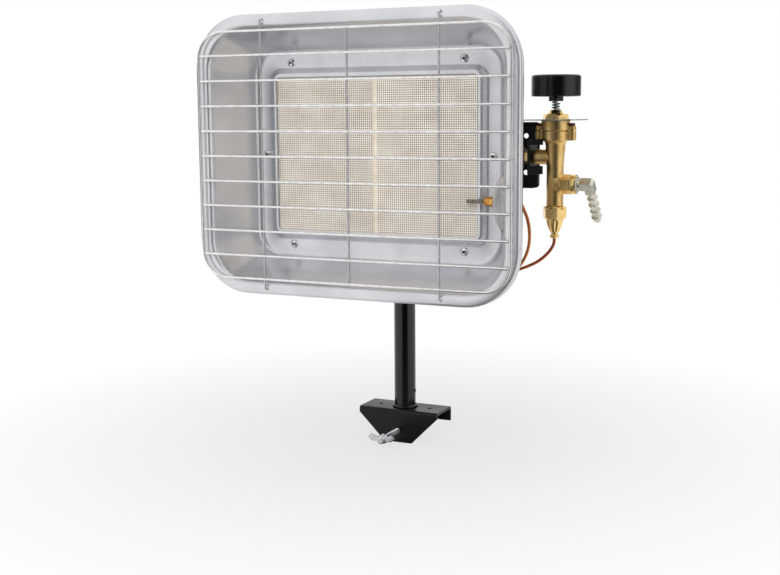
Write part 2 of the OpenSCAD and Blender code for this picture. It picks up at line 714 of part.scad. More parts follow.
// Coil spring between two heights
module coil(low, high, r, d, turns) {
    steps = 12*turns;
    foot = low + d/2 + fit;
    rise = high - low - d - 2*fit;
    swept([for (i = [0:steps]) [r*cos(30*i), r*sin(30*i), foot + rise*i/steps]], d/2, [0, 0, 1]);
}

module plug_spring() color("dimgray") on_valve()
    coil(plug_top, bonnet_z + bonnet_recess, coil_r, 1, 2);

module return_spring() color("dimgray") on_valve()
    coil(gland_top, hub_z, coil_r, spring_d, spring_turns);

// Flame-failure magnet in the foot of the valve, with its pushrod above
module magnet_unit() color("silver") on_valve() difference() {
    union() {
        rod_z(body_foot + 1, magnet_top, magnet_d);
        rod_z(cap_z + 1, body_foot + 1 + lap, 9.8);
    }
    rod_z(magnet_top - knob_travel - 3, magnet_top + 1, pushrod_d + 2*fit);
}

module magnet_pushrod() color("silver") on_valve() {
    collar_z = magnet_top + knob_travel + 0.4;
    rod_z(magnet_top - 1.5, spindle_foot - 0.3, pushrod_d);
    rod_z(collar_z, collar_z + 1, pushrod_d + 2);
}

module magnet_nut() color("gold") on_valve() difference() {
    flats = 20.5;
    corner = 12.1;
    bevel = 2;
    face = flats/2 - 0.1;
    intersection() {
        hex_z(cap_z, body_foot, flats);
        rotate_extrude() polygon([[0, cap_z], [face, cap_z], [corner, cap_z + bevel],
            [corner, body_foot - bevel], [face, body_foot], [0, body_foot]]);
    }
    rod_z(cap_z - 1, body_foot + 1, 10);
    for (i = [0:5]) rotate(60*i + 30) translate([0, 0, body_foot - 1.6]) rod_x(8.8, 13, 2.6);
}

// Tapered cap with six flutes, over the magnet's contact
module magnet_cap() color("gold") on_valve() difference() {
    foot_r = 4.7;
    top_r = 8.2;
    flute_d = 4.6;
    rotate_extrude() polygon([[0, ferrule_z], [foot_r, ferrule_z], [top_r - 0.6, ferrule_z + 8],
        [top_r, cap_z - 2], [top_r, cap_z], [0, cap_z]]);
    for (i = [0:5]) rotate(60*i) translate([top_r + 1.4, 0, cap_z]) rotate([0, 12, 0])
        rod_z(-cap_h - 4, -1.6, flute_d);
    rod_z(ferrule_z - 1, cap_z + 1, lead_d + 0.2);
}

module lead_ferrule() color("darkgoldenrod") on_valve() difference() {
    union() {
        rod_z(ferrule_z - 6, ferrule_z, 6.8);
        translate([0, 0, ferrule_z - 4.2]) rotate_extrude() translate([3, 0]) circle(d = 3.4);
    }
    rod_z(ferrule_z - 8, ferrule_z + 1, lead_d + 0.2);
}

inlet_ring_t = 4.6;
inlet_nut_t = 3.6;
module inlet_ring() color("goldenrod") on_inlet() difference() {
    spigot = 4.5;
    union() {
        rod_x(0, inlet_ring_t, 19);
        rod_x(-spigot, lap, 8 - 2*fit);
    }
    rod_x(-spigot - 1, inlet_ring_t + 1, gas_bore_d);
}

module inlet_nut() color("#b9b7a8") on_inlet() translate([inlet_ring_t, 0, 0]) difference() {
    union() {
        hex_x(0, 2, 14);
        rod_x(2 - lap, inlet_nut_t, 11);
    }
    rod_x(-1, inlet_nut_t + 1, gas_bore_d);
}

// Forged square elbow with a barbed tail for the hose, turned back about the inlet's axis
elbow_x = 17.2;
arm_w = 9;
tail_turn = 40;
barb_r = 5.5;
barb_pitch = 8.4;
barb_foot = -42;
tail_tip = -48;
tail_root = -10;
module hose_elbow() color("#b9b7a8") on_inlet() rotate([tail_turn, 0, 0]) difference() {
    start = inlet_ring_t + inlet_nut_t;
    half = arm_w/2;
    corner = 2.5;
    root_r = 4;
    union() {
        rotate([90, 0, 0]) translate([0, 0, -half]) linear_extrude(arm_w) polygon([
            [start, -half], [start, half], [elbow_x + half - corner, half],
            [elbow_x + half, half - corner], [elbow_x + half, tail_root],
            [elbow_x - half, tail_root], [elbow_x - half, -half]]);
        translate([elbow_x, 0, 0]) rotate_extrude() polygon(concat(
            [[0, tail_tip], [3.4, tail_tip], [3.9, tail_tip + 1.5]],
            [for (i = [0:3]) let (z = barb_foot + barb_pitch*i)
                each [[barb_r, z], [root_r, z + 0.6], [root_r, z + 3]]],
            [[root_r, tail_root + lap], [0, tail_root + lap]]));
    }
    rod_x(start - 1, elbow_x, gas_bore_d);
    translate([elbow_x, 0, 0]) rod_z(tail_tip - 1, 0, gas_bore_d + 1);
}

// ---- moving parts of the valve ----

module gas_plug() color("goldenrod") on_valve() difference() {
    rotate_extrude() polygon([[0, plug_foot], [plug_r_foot, plug_foot],
        [plug_r_top, plug_top], [0, plug_top]]);
    rod_z(plug_foot - 1, plug_top + 1, spindle_d + 2*fit);
    translate([0, 0, line_z]) rod_x(-8, 0, 3);
}

// Spindle with a flat at the top that drives the knob
spindle_top = knob_z + 12;
flat_x = spindle_d/2 - 1;
module spindle() color("dimgray") on_valve() difference() {
    rod_z(spindle_foot, spindle_top, spindle_d);
    box([flat_x, -4, hub_z - 1], [4, 4, spindle_top + 1]);
}

// Sealing ring round the spindle, in the bonnet's neck
module spindle_ring() color("#202020") on_valve() translate([0, 0, packing_z + packing_d/2])
    rotate_extrude() translate([packing_r - packing_d/2, 0]) circle(d = packing_d);

module knob() color("#1c1c1e") on_valve() {
    knob_top = knob_z + knob_h;
    knob_r = knob_d/2;
    edge = 1.4;
    wall = 2.5;
    roof = 3;
    rib_t = 1.6;
    slot_w = 3.6;
    slot_turn = 116;
    difference() {
        union() {
            rotate_extrude() polygon([[0, knob_z], [knob_r - 0.6, knob_z], [knob_r, knob_z + 0.6],
                [knob_r, knob_top - edge], [knob_r - edge, knob_top], [0, knob_top]]);
            rod_z(hub_z, knob_z + lap, hub_d);
        }
        difference() {
            rod_z(knob_z - 1, knob_top - roof, knob_d - 2*wall);
            rod_z(knob_z - 2, knob_top, hub_d);
            for (a = [0, 60, 120]) rotate(a)
                box([-knob_d, -rib_t/2, knob_z + 2], [knob_d, rib_t/2, knob_top]);
        }
        rotate(slot_turn) box([-hub_d, -slot_w/2, hub_z - 1], [hub_d, slot_w/2, hub_z + 3]);
        difference() {
            rod_z(hub_z - 1, spindle_top + 0.2, spindle_d + 2*fit);
            box([flat_x + fit, -4, hub_z + 2], [4, 4, spindle_top + 1]);
        }
    }
}

// ---- tilt joint ----

base_y = housing_back - rim_to_post;
base_t = 2.5;
base_x = 32;
base_z = 24;
module at_base_screws() for (x = [-1, 1], z = [-1, 1])
    translate([x*(base_x - 8), base_y + base_t, z*(base_z - 8)]) children();

module tilt_bracket() color("#202020") on_pivot() difference() {
    union() {
        box([-base_x, base_y, -base_z], [base_x, base_y + base_t, base_z]);
        for (s = [-1, 1]) mirror([s < 0 ? 1 : 0, 0, 0]) {
            box([ear_in, base_y, -ear_r], [ear_out, 0, ear_r]);
            rod_x(ear_in, ear_out, 2*ear_r);
        }
    }
    rod_x(-base_x, base_x, pivot_d + 2*fit);
    at_base_screws() rod_y(-base_t - 1, 2, small_screw_d + screw_hole_play);
}

module tilt_bracket_screws() color("silver") on_pivot() at_base_screws()
    mirror([0, 1, 0]) pan_screw(small_screw_d, base_t);

lock_x = ear_out + 0.3;
module pivot_bolt() color("silver") on_pivot() {
    rod_x(-ear_out - lap, lock_x + 14, pivot_d);
    hex_x(-ear_out - 5.5, -ear_out, pivot_d*1.6);
}

module pivot_washers() color("gainsboro") on_pivot() for (s = [-1, 1])
    mirror([s < 0 ? 1 : 0, 0, 0]) difference() {
        rod_x(ear_in - post_gap - washer_t, ear_in - post_gap, 2*pivot_d);
        rod_x(0, ear_out, pivot_d + 2*fit);
    }

// Winged nut that locks the tilt
module lock_nut() color("#1c1c1e") on_pivot() translate([lock_x, 0, 0]) difference() {
    hub = 8;
    wing_x = 3;
    wing_t = 4.4;
    wing_r = 20;
    wing_h = 12;
    union() {
        rotate([0, 90, 0]) cylinder(h = hub, d1 = 18, d2 = 13);
        for (s = [-1, 1]) mirror([0, s < 0 ? 1 : 0, 0]) translate([wing_x, 0, 0]) {
            box([0, 3, -wing_t/2], [wing_h, wing_r, wing_t/2]);
            translate([0, wing_r, 0]) rod_x(0, wing_h, wing_t);
        }
    }
    rod_x(-1, 30, pivot_d + 2*fit);
}

// ---- stand and clamp ----

module post_tube() color("#1a1a1a") difference() {
    rod_z(clamp_t, post_top, post_d);
    rod_z(clamp_t - 1, post_top + 1, post_d - 2*post_wall);
    on_pivot() rod_x(-post_d, post_d, pivot_d + 2*fit);
    translate([0, 0, set_screw_z]) rod_x(0, post_d, set_screw_d + 2*fit);
}

module post_cap() color("#1c1c1e") translate([0, 0, post_top]) {
    skirt = 6;
    skirt_d = post_d - 2*post_wall - 2*fit;
    rod_z(0, 2.4, post_d);
    difference() {
        rod_z(-skirt, lap, skirt_d);
        rod_z(-skirt - 1, -1, skirt_d - 4);
    }
}

module post_ring() color("#1a1a1a") translate([0, 0, clamp_t]) difference() {
    rotate_extrude() polygon([[0, 0], [ring_d/2, 0], [ring_d/2, 1.6], [ring_d/2 - 1.2, 2.8], [0, 2.8]]);
    rod_z(-1, 5, post_d + 2*fit);
}

module post_set_screw() color("#1a1a1a") translate([0, 0, set_screw_z]) {
    rod_x(post_d/2 - 4, post_d/2 + 0.2, set_screw_d);
    rod_x(post_d/2 + fit, post_d/2 + 0.8, set_screw_d + 1);
}

// Channel that hooks over the collar: a tall front plate for the screw, a low back flange
module clamp_bracket() color("#202020") difference() {
    hl = clamp_l/2;
    hw = clamp_w/2;
    shoulder = clamp_t - 6.5;
    foot = clamp_t - clamp_h;
    foot_x = 16;
    union() {
        box([-hl, clamp_t - hw, 0], [hl, hw - clamp_t, clamp_t]);
        for (s = [-1, 1]) translate([0, s*(hw - clamp_t), 0]) rod_x(-hl, hl, 2*clamp_t);
        translate([0, front_in, 0]) rotate([90, 0, 0]) linear_extrude(clamp_t) polygon([
            [-hl, 0], [-hl, shoulder], [-foot_x, foot], [foot_x, foot], [hl, shoulder], [hl, 0]]);
        box([-hl, hw - clamp_t, clamp_t - clamp_back_h], [hl, hw, 0]);
    }
    box([-hl - 1, front_in, -2*clamp_t], [hl + 1, -front_in, 0]);
    for (s = [-1, 1]) translate([s*clamp_hole_pitch/2, 0, 0]) rod_z(-1, clamp_t + 1, clamp_hole_d);
    on_screw() rod_y(-hw - 1, front_in + 1, screw_d + 2*fit);
}

module clamp_nut() color("silver") on_screw() difference() {
    hex_y(front_in, front_in + screw_nut_t, screw_d*1.7);
    rod_y(front_in - 1, front_in + screw_nut_t + 1, screw_d + 2*fit);
}

module clamp_pad() color("#202020") on_screw() difference() {
    rod_y(pad_back, pad_face, pad_d);
    rod_y(pad_back - 1, pad_back + pad_t/2, screw_d + 2*fit);
}

module wing_bolt() color("silver") on_screw() {
    hub_l = 9;
    hub_foot = hub_y - 4;
    rod_y(hub_foot, pad_back + pad_t/2 - 0.3, screw_d);
    translate([0, hub_foot, 0]) rotate([-90, 0, 0]) cylinder(h = hub_l, d1 = 8, d2 = 11);
    translate([0, hub_y, 0]) wings_y(30, 7.5, 2.2, 4);
}

reflector_pan();
guard_frame();
guard_cross_wires();
guard_uprights();
plaque_left();
plaque_right();
plaque_seam();
front_gasket();
rear_gasket();
burner_housing();
gas_baffle();
mixer_tube();
jet();
jet_bracket();
valve_mount_plate();
mount_plate_screws();
burner_screws();
burner_nuts();
thermocouple_probe();
thermocouple_nut();
thermocouple_locknut();
thermocouple_lead();
valve_body();
bonnet_seal();
valve_bonnet();
bonnet_screws();
control_plate();
gland_nut();
plug_spring();
return_spring();
magnet_unit();
magnet_nut();
magnet_cap();
lead_ferrule();
inlet_ring();
inlet_nut();
hose_elbow();
tilt_bracket();
tilt_bracket_screws();
pivot_bolt();
pivot_washers();
lock_nut();
gas_plug();
spindle();
spindle_ring();
knob();
magnet_pushrod();
post_tube();
post_cap();
post_ring();
post_set_screw();
clamp_bracket();
clamp_nut();
clamp_pad();
wing_bolt();
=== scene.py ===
import math
import bmesh
import bpy
from mathutils import Matrix, Vector


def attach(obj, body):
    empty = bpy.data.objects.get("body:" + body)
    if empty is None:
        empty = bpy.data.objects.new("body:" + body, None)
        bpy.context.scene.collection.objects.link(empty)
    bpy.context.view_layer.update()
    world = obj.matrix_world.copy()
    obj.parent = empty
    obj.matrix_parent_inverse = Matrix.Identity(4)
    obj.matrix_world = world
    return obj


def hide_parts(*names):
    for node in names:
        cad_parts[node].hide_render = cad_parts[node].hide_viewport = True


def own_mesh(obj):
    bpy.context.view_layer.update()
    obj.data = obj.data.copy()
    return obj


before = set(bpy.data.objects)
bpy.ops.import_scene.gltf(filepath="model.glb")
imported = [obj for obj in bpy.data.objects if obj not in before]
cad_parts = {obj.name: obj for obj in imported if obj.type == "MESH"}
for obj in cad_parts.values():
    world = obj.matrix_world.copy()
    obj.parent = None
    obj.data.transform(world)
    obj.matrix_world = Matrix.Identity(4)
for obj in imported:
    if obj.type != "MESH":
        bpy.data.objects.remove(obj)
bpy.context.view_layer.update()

# ---- Camera ----
# It stands 1.2 m from the head, to the valve's side, and looks a little down on it.
camera_place = Vector((0.5509, -1.1794, 0.3241))
camera_yaw, camera_dip, camera_roll = math.radians(25.73), math.radians(8.334), math.radians(-0.407)

bpy.ops.object.camera_add()
camera = bpy.context.object
camera.name = "camera"
camera.data.sensor_width = 36
camera.data.lens = 56.41
camera.matrix_world = (Matrix.Translation(camera_place) @ Matrix.Rotation(camera_yaw, 4, "Z")
                       @ Matrix.Rotation(math.pi / 2 - camera_dip, 4, "X")
                       @ Matrix.Rotation(camera_roll, 4, "Z"))
bpy.context.scene.camera = camera

# ---- Studio floor and light ----
# A plain pale floor under the clamp, in a white room with a dark doorway in front of the heater,
# grey curtains to its left and behind it, and three large soft lamps that show in no reflection.
FLOOR_Z, FLOOR_SIZE = -0.0332, 6
# Seen directly the floor fades to plain white between these two distances from the clamp, in metres
FADE_FROM, FADE_TO, FADE_SHARE = 0.12, 0.55, 0.7
# Direction of each, then the cosine at its edge, the cosine where it is darkest, and how dark it is
DOORWAY = ((0.430, -0.898, 0.09), 0.76, 0.93, 0.04)
CURTAINS = (((-0.996, -0.087, 0), 0.75, 0.95, 0.22), ((0.60, 0.79, -0.09), 0.75, 0.95, 0.22))


def hex_colour(code):
    """An sRGB hex colour as Blender's linear colour."""
    parts = [int(code[i:i + 2], 16) / 255 for i in (1, 3, 5)]
    return [p / 12.92 if p <= 0.04045 else ((p + 0.055) / 1.055) ** 2.4 for p in parts] + [1]


def add(tree, kind, inputs, **settings):
    """Adds one shader node with its settings, and a value or a link for each input, which goes by
    its name, or by its number where names repeat."""
    node = tree.nodes.new("ShaderNode" + kind)
    for name, value in settings.items():
        setattr(node, name, value)
    for name, value in inputs.items():
        if isinstance(value, bpy.types.NodeSocket):
            tree.links.new(value, node.inputs[name])
        else:
            node.inputs[name].default_value = value
    return node


def white_rays(tree):
    """The Light Path node, and 1 for the rays that see the white room: the camera's own, and those
    that reach it by gloss or through glass."""
    path = add(tree, "LightPath", {})
    seen = path.outputs["Is Camera Ray"]
    for ray in ("Is Glossy Ray", "Is Transmission Ray"):
        seen = add(tree, "Math", {0: seen, 1: path.outputs[ray]}, operation="MAXIMUM").outputs[0]
    return path, seen


def darkened(tree, way, direction, edge, core, darkest):
    """1 all round, falling to its darkest about one direction."""
    along = add(tree, "VectorMath", {0: way, 1: direction}, operation="DOT_PRODUCT")
    return add(tree, "MapRange", {"Value": along.outputs["Value"], "From Min": edge, "From Max": core,
                                  "To Min": 1.0, "To Max": darkest}).outputs["Result"]


bpy.ops.object.select_all(action="DESELECT")
bpy.ops.mesh.primitive_plane_add(size=FLOOR_SIZE, location=(0, 0, FLOOR_Z))
floor = bpy.context.object
floor.name = "studio_floor"
paper = bpy.data.materials.new("white_paper_sweep")
paper.use_nodes = True
tree = paper.node_tree
place = add(tree, "TexCoord", {}).outputs["Object"]
away = add(tree, "VectorMath", {0: place}, operation="LENGTH").outputs["Value"]
fade = add(tree, "MapRange", {"Value": away, "From Min": FADE_FROM, "From Max": FADE_TO,
                              "To Min": FADE_SHARE, "To Max": 1.0})
path, seen = white_rays(tree)
share = add(tree, "Math", {0: seen, 1: fade.outputs["Result"]}, operation="MULTIPLY")
# Towards the doorway the floor is dark in reflections too
way = add(tree, "VectorMath", {0: place}, operation="NORMALIZE").outputs["Vector"]
lit = add(tree, "Math", {0: darkened(tree, way, *DOORWAY), 1: path.outputs["Is Camera Ray"]},
          operation="MAXIMUM")
glow = add(tree, "Emission", {"Color": (1, 1, 1, 1), "Strength": lit.outputs[0]})
tree.nodes["Principled BSDF"].inputs["Base Color"].default_value = hex_colour("#A6A6A5")
tree.nodes["Principled BSDF"].inputs["Roughness"].default_value = 0.9
mix = add(tree, "MixShader", {0: share.outputs[0], 1: tree.nodes["Principled BSDF"].outputs[0],
                              2: glow.outputs[0]})
tree.links.new(mix.outputs[0], tree.nodes["Material Output"].inputs["Surface"])
floor.data.materials.append(paper)

world = bpy.data.worlds.new("studio")
bpy.context.scene.world = world
world.use_nodes = True
tree = world.node_tree
around = add(tree, "TexCoord", {}).outputs["Generated"]
room = darkened(tree, around, *DOORWAY)
for curtain in CURTAINS:
    drape = darkened(tree, around, *curtain)
    room = add(tree, "Math", {0: room, 1: drape}, operation="MULTIPLY").outputs[0]
path, seen = white_rays(tree)
wall = add(tree, "Math", {0: room, 1: path.outputs["Is Camera Ray"]}, operation="MAXIMUM")
# For soft light the room is a quarter as bright below as it looks, and three quarters overhead
height = add(tree, "SeparateXYZ", {0: around})
ceiling = add(tree, "MapRange", {"Value": height.outputs["Z"], "From Min": -0.2, "From Max": 0.8,
                                 "To Min": 0.25, "To Max": 0.75})
level = add(tree, "MapRange", {"Value": seen, "To Min": ceiling.outputs["Result"],
                               "To Max": wall.outputs[0]})
tree.nodes["Background"].inputs["Color"].default_value = (1, 1, 1, 1)
tree.links.new(level.outputs["Result"], tree.nodes["Background"].inputs["Strength"])


def soft_lamp(name, place, aim, width, height, watts):
    """A rectangular studio lamp at a place, turned to its aim."""
    bpy.ops.object.light_add(type="AREA", location=place)
    lamp = bpy.context.object
    lamp.name = name
    lamp.data.shape = "RECTANGLE"
    lamp.data.size, lamp.data.size_y = width, height
    lamp.data.energy = watts
    lamp.visible_glossy = False
    lamp.rotation_euler = (Vector(aim) - Vector(place)).to_track_quat("-Z", "Y").to_euler()


LAMP_AIM = (0, 0, 0.28)
soft_lamp("key_lamp", (0.65, -1.75, 0.95), LAMP_AIM, width=1.1, height=0.8, watts=25)
soft_lamp("left_lamp", (-1.1, -1.5, 0.7), LAMP_AIM, width=0.9, height=1.2, watts=5)
soft_lamp("right_lamp", (1.7, -0.95, 0.8), LAMP_AIM, width=0.9, height=1.2, watts=9)

# ---- Clamp bracket ----
# A channel of 3 mm sheet steel that hooks over the cylinder's collar: a deep front plate for the
# screw, a low back flange and two small holes in its top. Sawn, folded and powder coated black.


def surface(name, light, dark, patch, metallic, rough, spread, grain, relief):
    """A finish that drifts between two colours, and in its roughness by a spread, over patches of
    a size in metres, with a fine grain of its own size and relief, in metres too."""
    finish = bpy.data.materials.new(name)
    finish.use_nodes = True
    tree = finish.node_tree
    shader = tree.nodes["Principled BSDF"]
    place = add(tree, "TexCoord", {}).outputs["Object"]
    drift = add(tree, "TexNoise", {"Vector": place, "Scale": 1 / patch, "Detail": 3.0})
    swing = {"Value": drift.outputs[0], "From Min": 0.35, "From Max": 0.65}
    level = add(tree, "MapRange", swing)
    colour = add(tree, "Mix", {0: level.outputs["Result"], 6: hex_colour(dark), 7: hex_colour(light)},
                 data_type="RGBA")
    gloss = add(tree, "MapRange", {**swing, "To Min": rough + spread, "To Max": rough - spread})
    grains = add(tree, "TexNoise", {"Vector": place, "Scale": 1 / grain, "Detail": 2.0})
    bump = add(tree, "Bump", {"Height": grains.outputs[0], "Strength": 1.0, "Distance": relief})
    tree.links.new(colour.outputs[2], shader.inputs["Base Color"])
    tree.links.new(gloss.outputs["Result"], shader.inputs["Roughness"])
    tree.links.new(bump.outputs["Normal"], shader.inputs["Normal"])
    shader.inputs["Metallic"].default_value = metallic
    return finish


def finished(piece, finish, body, slot, *nodes):
    """Gives a made piece its finish and its body, and hides the CAD nodes that it stands for; the slot
    is not used.
    """
    piece.data.materials.clear()
    piece.data.materials.append(finish)
    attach(piece, body)
    if nodes:
        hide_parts(*nodes)
    return piece


def choose(piece):
    """Selects this piece alone."""
    bpy.ops.object.select_all(action="DESELECT")
    piece.select_set(True)
    bpy.context.view_layer.objects.active = piece


# Points of a CAD mesh closer than this many metres are one, and faces within so many degrees one
CAD_MERGE, CAD_FLAT = 0.000012, 0.4


def copied(node, name):
    """A new piece with a merged copy of a CAD node's mesh, its flat faces whole again."""
    piece = bpy.data.objects.new(name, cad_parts[node].data.copy())
    bpy.context.scene.collection.objects.link(piece)
    choose(piece)
    bpy.ops.mesh.customdata_custom_splitnormals_clear()
    bpy.ops.object.mode_set(mode="EDIT")
    bpy.ops.mesh.select_all(action="SELECT")
    bpy.ops.mesh.remove_doubles(threshold=CAD_MERGE)
    bpy.ops.mesh.dissolve_limited(angle_limit=math.radians(CAD_FLAT))
    bpy.ops.object.mode_set(mode="OBJECT")
    return piece


def eased(piece, width, segments=2, sharp=32):
    """Rounds the piece's sharp edges to a width in metres, and shades it smooth between them."""
    choose(piece)
    bevel = piece.modifiers.new("edges", "BEVEL")
    bevel.width, bevel.segments = width, segments
    bevel.limit_method, bevel.angle_limit = "ANGLE", math.radians(sharp)
    bevel.use_clamp_overlap = False
    bevel.miter_outer = "MITER_ARC"
    bpy.ops.object.modifier_apply(modifier=bevel.name)
    bpy.ops.object.shade_smooth_by_angle(angle=math.radians(sharp))
    weight = piece.modifiers.new("normals", "WEIGHTED_NORMAL")
    weight.keep_sharp = True
    bpy.ops.object.modifier_apply(modifier=weight.name)
    return piece


# Epoxy powder: near black and dull, with the slight orange peel of melted powder, 1 mm across
powder_black = surface("black_powder_coat", "#0C0C0D", "#080809", patch=0.03, metallic=0.0,
                       rough=0.34, spread=0.05, grain=0.0011, relief=0.00003)
POWDER_IOR = 1.35
powder_black.node_tree.nodes["Principled BSDF"].inputs["IOR"].default_value = POWDER_IOR
finished(eased(copied("clamp_bracket", "folded_clamp_bracket"), 0.0005), powder_black,
         "stand", "black_paint", "clamp_bracket")

# ---- Clamp nut and swivel pad ----
# A zinc-plated hexagon nut welded inside the front plate, and a turned steel pad, powder coated,
# that the screw presses against the collar.
# Bright zinc: pale bluish silver, a little cloudy where the plating bath left it
zinc = surface("bright_zinc_plate", "#DADCDE", "#C4C7CB", patch=0.006, metallic=1.0,
               rough=0.22, spread=0.06, grain=0.0012, relief=0.000005)
finished(eased(copied("clamp_nut", "welded_clamp_nut"), 0.0004), zinc, "stand", "screw_zinc",
         "clamp_nut")
finished(eased(copied("clamp_pad", "swivel_pad"), 0.0004), powder_black, "pad", "black_paint",
         "clamp_pad")

# ---- Wing screw ----
# A zinc die-cast wing head on an M6 steel screw, pitch 1 mm, barrel plated. It turns by hand
# through the front plate's nut and pushes the pad against the collar.
SCREW_Z, HEAD_END_Y, THREAD_END_Y = -0.0205, -0.0540, -0.0062
THREAD_R, THREAD_TURNS, RIDGE_R, CORE_SHARE = 0.00252, 48, 0.00052, 0.84


def remeshed(piece, voxel, rounds):
    """Gives a piece the soft edges of a casting: remeshed, then smoothed."""
    choose(piece)
    melt = piece.modifiers.new("melt", "REMESH")
    melt.mode, melt.voxel_size = "VOXEL", voxel
    bpy.ops.object.modifier_apply(modifier=melt.name)
    settle = piece.modifiers.new("settle", "SMOOTH")
    settle.factor, settle.iterations = 0.5, rounds
    bpy.ops.object.modifier_apply(modifier=settle.name)
    bpy.ops.object.shade_smooth()
    return piece


def wound(name, sides, wire, radius, rise, turns, place, tilt=(0, 0, 0)):
    """A wire of so many sides, wound in a helix from its foot at a place, along +Z or as tilted."""
    bpy.ops.object.select_all(action="DESELECT")
    bpy.ops.mesh.primitive_circle_add(vertices=sides, radius=wire, location=(radius, 0, 0),
                                      rotation=(math.pi / 2, math.pi / 2, 0))
    coil = bpy.context.object
    coil.name = name
    bpy.ops.object.transform_apply()
    screw = coil.modifiers.new("winding", "SCREW")
    screw.angle, screw.screw_offset, screw.iterations = 2 * math.pi * turns, rise, 1
    screw.steps = screw.render_steps = round(24 * turns)
    bpy.ops.object.modifier_apply(modifier=screw.name)
    bpy.ops.object.mode_set(mode="EDIT")
    bpy.ops.mesh.select_all(action="SELECT")
    bpy.ops.mesh.remove_doubles(threshold=0.00001)
    bpy.ops.mesh.fill_holes(sides=sides)
    bpy.ops.mesh.normals_make_consistent(inside=False)
    bpy.ops.object.mode_set(mode="OBJECT")
    coil.location, coil.rotation_euler = place, tilt
    bpy.ops.object.transform_apply()
    bpy.ops.object.shade_smooth_by_angle(angle=math.radians(40))
    return coil


def joined(first, *others):
    """One piece of several."""
    choose(first)
    for other in others:
        other.select_set(True)
    bpy.ops.object.join()
    return first


# The shank is thinned to the thread's core, and the ridge of the thread is wound on it
wing = copied("wing_bolt", "wing_screw")
bpy.ops.object.mode_set(mode="EDIT")
mesh = bmesh.from_edit_mesh(wing.data)
for v in mesh.verts:
    v.select = v.co.y > HEAD_END_Y + 0.0002
mesh.select_flush(False)
bpy.ops.transform.resize(value=(CORE_SHARE, 1, CORE_SHARE), center_override=(0, HEAD_END_Y, SCREW_Z))
bpy.ops.object.mode_set(mode="OBJECT")
remeshed(wing, 0.0004, 5)
ridge = wound("wing_thread", 3, RIDGE_R, THREAD_R, THREAD_END_Y - HEAD_END_Y, THREAD_TURNS,
              (0, HEAD_END_Y, SCREW_Z), (-math.pi / 2, 0, 0))
finished(joined(wing, ridge), zinc, "wing", "screw_zinc", "wing_bolt")

# ---- Post ----
# A straight steel tube, 23 mm across with a 1.5 mm wall, in a rolled ring that is welded to the
# bracket, with a grub screw low on its right side and a plastic plug in its top.
# Satin powder coat: black, smooth enough to show the bright room as a soft stripe
satin_black = surface("satin_black_powder_coat", "#060607", "#040404", patch=0.05, metallic=0.0,
                      rough=0.16, spread=0.03, grain=0.0009, relief=0.000006)
finished(eased(copied("post_tube", "steel_post"), 0.0003), satin_black, "stand", "black_paint",
         "post_tube")
finished(eased(copied("post_ring", "post_foot_ring"), 0.0005), satin_black, "stand", "black_paint",
         "post_ring")
finished(eased(copied("post_set_screw", "post_grub_screw"), 0.0002), satin_black, "stand",
         "black_paint", "post_set_screw")
# Moulded phenolic: black with a satin skin from the polished mould
phenolic = surface("black_phenolic", "#060607", "#040404", patch=0.012, metallic=0.0,
                   rough=0.18, spread=0.03, grain=0.0007, relief=0.000003)
finished(eased(copied("post_cap", "post_top_plug"), 0.0005), phenolic, "stand", "black_plastic",
         "post_cap")

# ---- Tilt joint ----
# A folded bracket with two ears, screwed to the burner housing, turns on an M8 bolt through the
# post. Plain washers sit between ears and post, and a winged nut locks the angle.
PIVOT_Z, BOLT_THREAD_X, BOLT_THREAD_L, BOLT_THREAD_TURNS = 0.2775, 0.0242, 0.0045, 3.6
finished(eased(copied("tilt_bracket", "folded_tilt_bracket"), 0.0005), powder_black, "head",
         "black_paint", "tilt_bracket")
finished(eased(copied("tilt_bracket_screws", "bracket_screws"), 0.0003), zinc, "head",
         "screw_zinc", "tilt_bracket_screws")
bolt = eased(copied("pivot_bolt", "tilt_bolt"), 0.0004)
ridge = wound("tilt_bolt_thread", 3, 0.0006, 0.0036, BOLT_THREAD_L, BOLT_THREAD_TURNS,
              (BOLT_THREAD_X, 0, PIVOT_Z), (0, math.pi / 2, 0))
finished(joined(bolt, ridge), zinc, "head", "screw_zinc", "pivot_bolt")
finished(eased(copied("pivot_washers", "tilt_washers"), 0.0002), zinc, "head", "screw_zinc",
         "pivot_washers")
finished(remeshed(copied("lock_nut", "winged_lock_nut"), 0.0006, 5), phenolic, "lock",
         "black_plastic", "lock_nut")

# ---- Burner housing, mixer tube and baffle ----
# The housing is pressed from 1 mm aluminised sheet. It holds the plaques against the reflector and
# closes the gas chamber behind them. The mixer tube is rolled and welded into its right end.
# Aluminised steel: dull grey-white metal with faint spangles about 12 mm across
aluminised = surface("aluminised_steel", "#B4B6B8", "#9C9EA1", patch=0.012, metallic=1.0,
                     rough=0.40, spread=0.07, grain=0.0016, relief=0.00003)
finished(eased(copied("burner_housing", "pressed_burner_housing"), 0.0005, sharp=20), aluminised,
         "head",
         "housing_steel", "burner_housing")
finished(eased(copied("mixer_tube", "rolled_mixer_tube"), 0.0003), aluminised, "head",
         "housing_steel", "mixer_tube")


def coated(finish, *nodes):
    """Gives CAD nodes that keep their own shape a finish."""
    for node in nodes:
        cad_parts[node].material_slots[0].material = finish


coated(aluminised, "gas_baffle")
coated(zinc, "burner_nuts")
# Fibre board with a short nap, near black: partly its own colour, partly painted shade for the dark gap
# between rim and plaques
fibre = surface("dark_fibre_board_and_painted_shade", "#2E2C2B", "#232221", patch=0.004, metallic=0.0,
                rough=0.9, spread=0.05, grain=0.0005, relief=0.00008)
coated(fibre, "front_gasket", "rear_gasket")

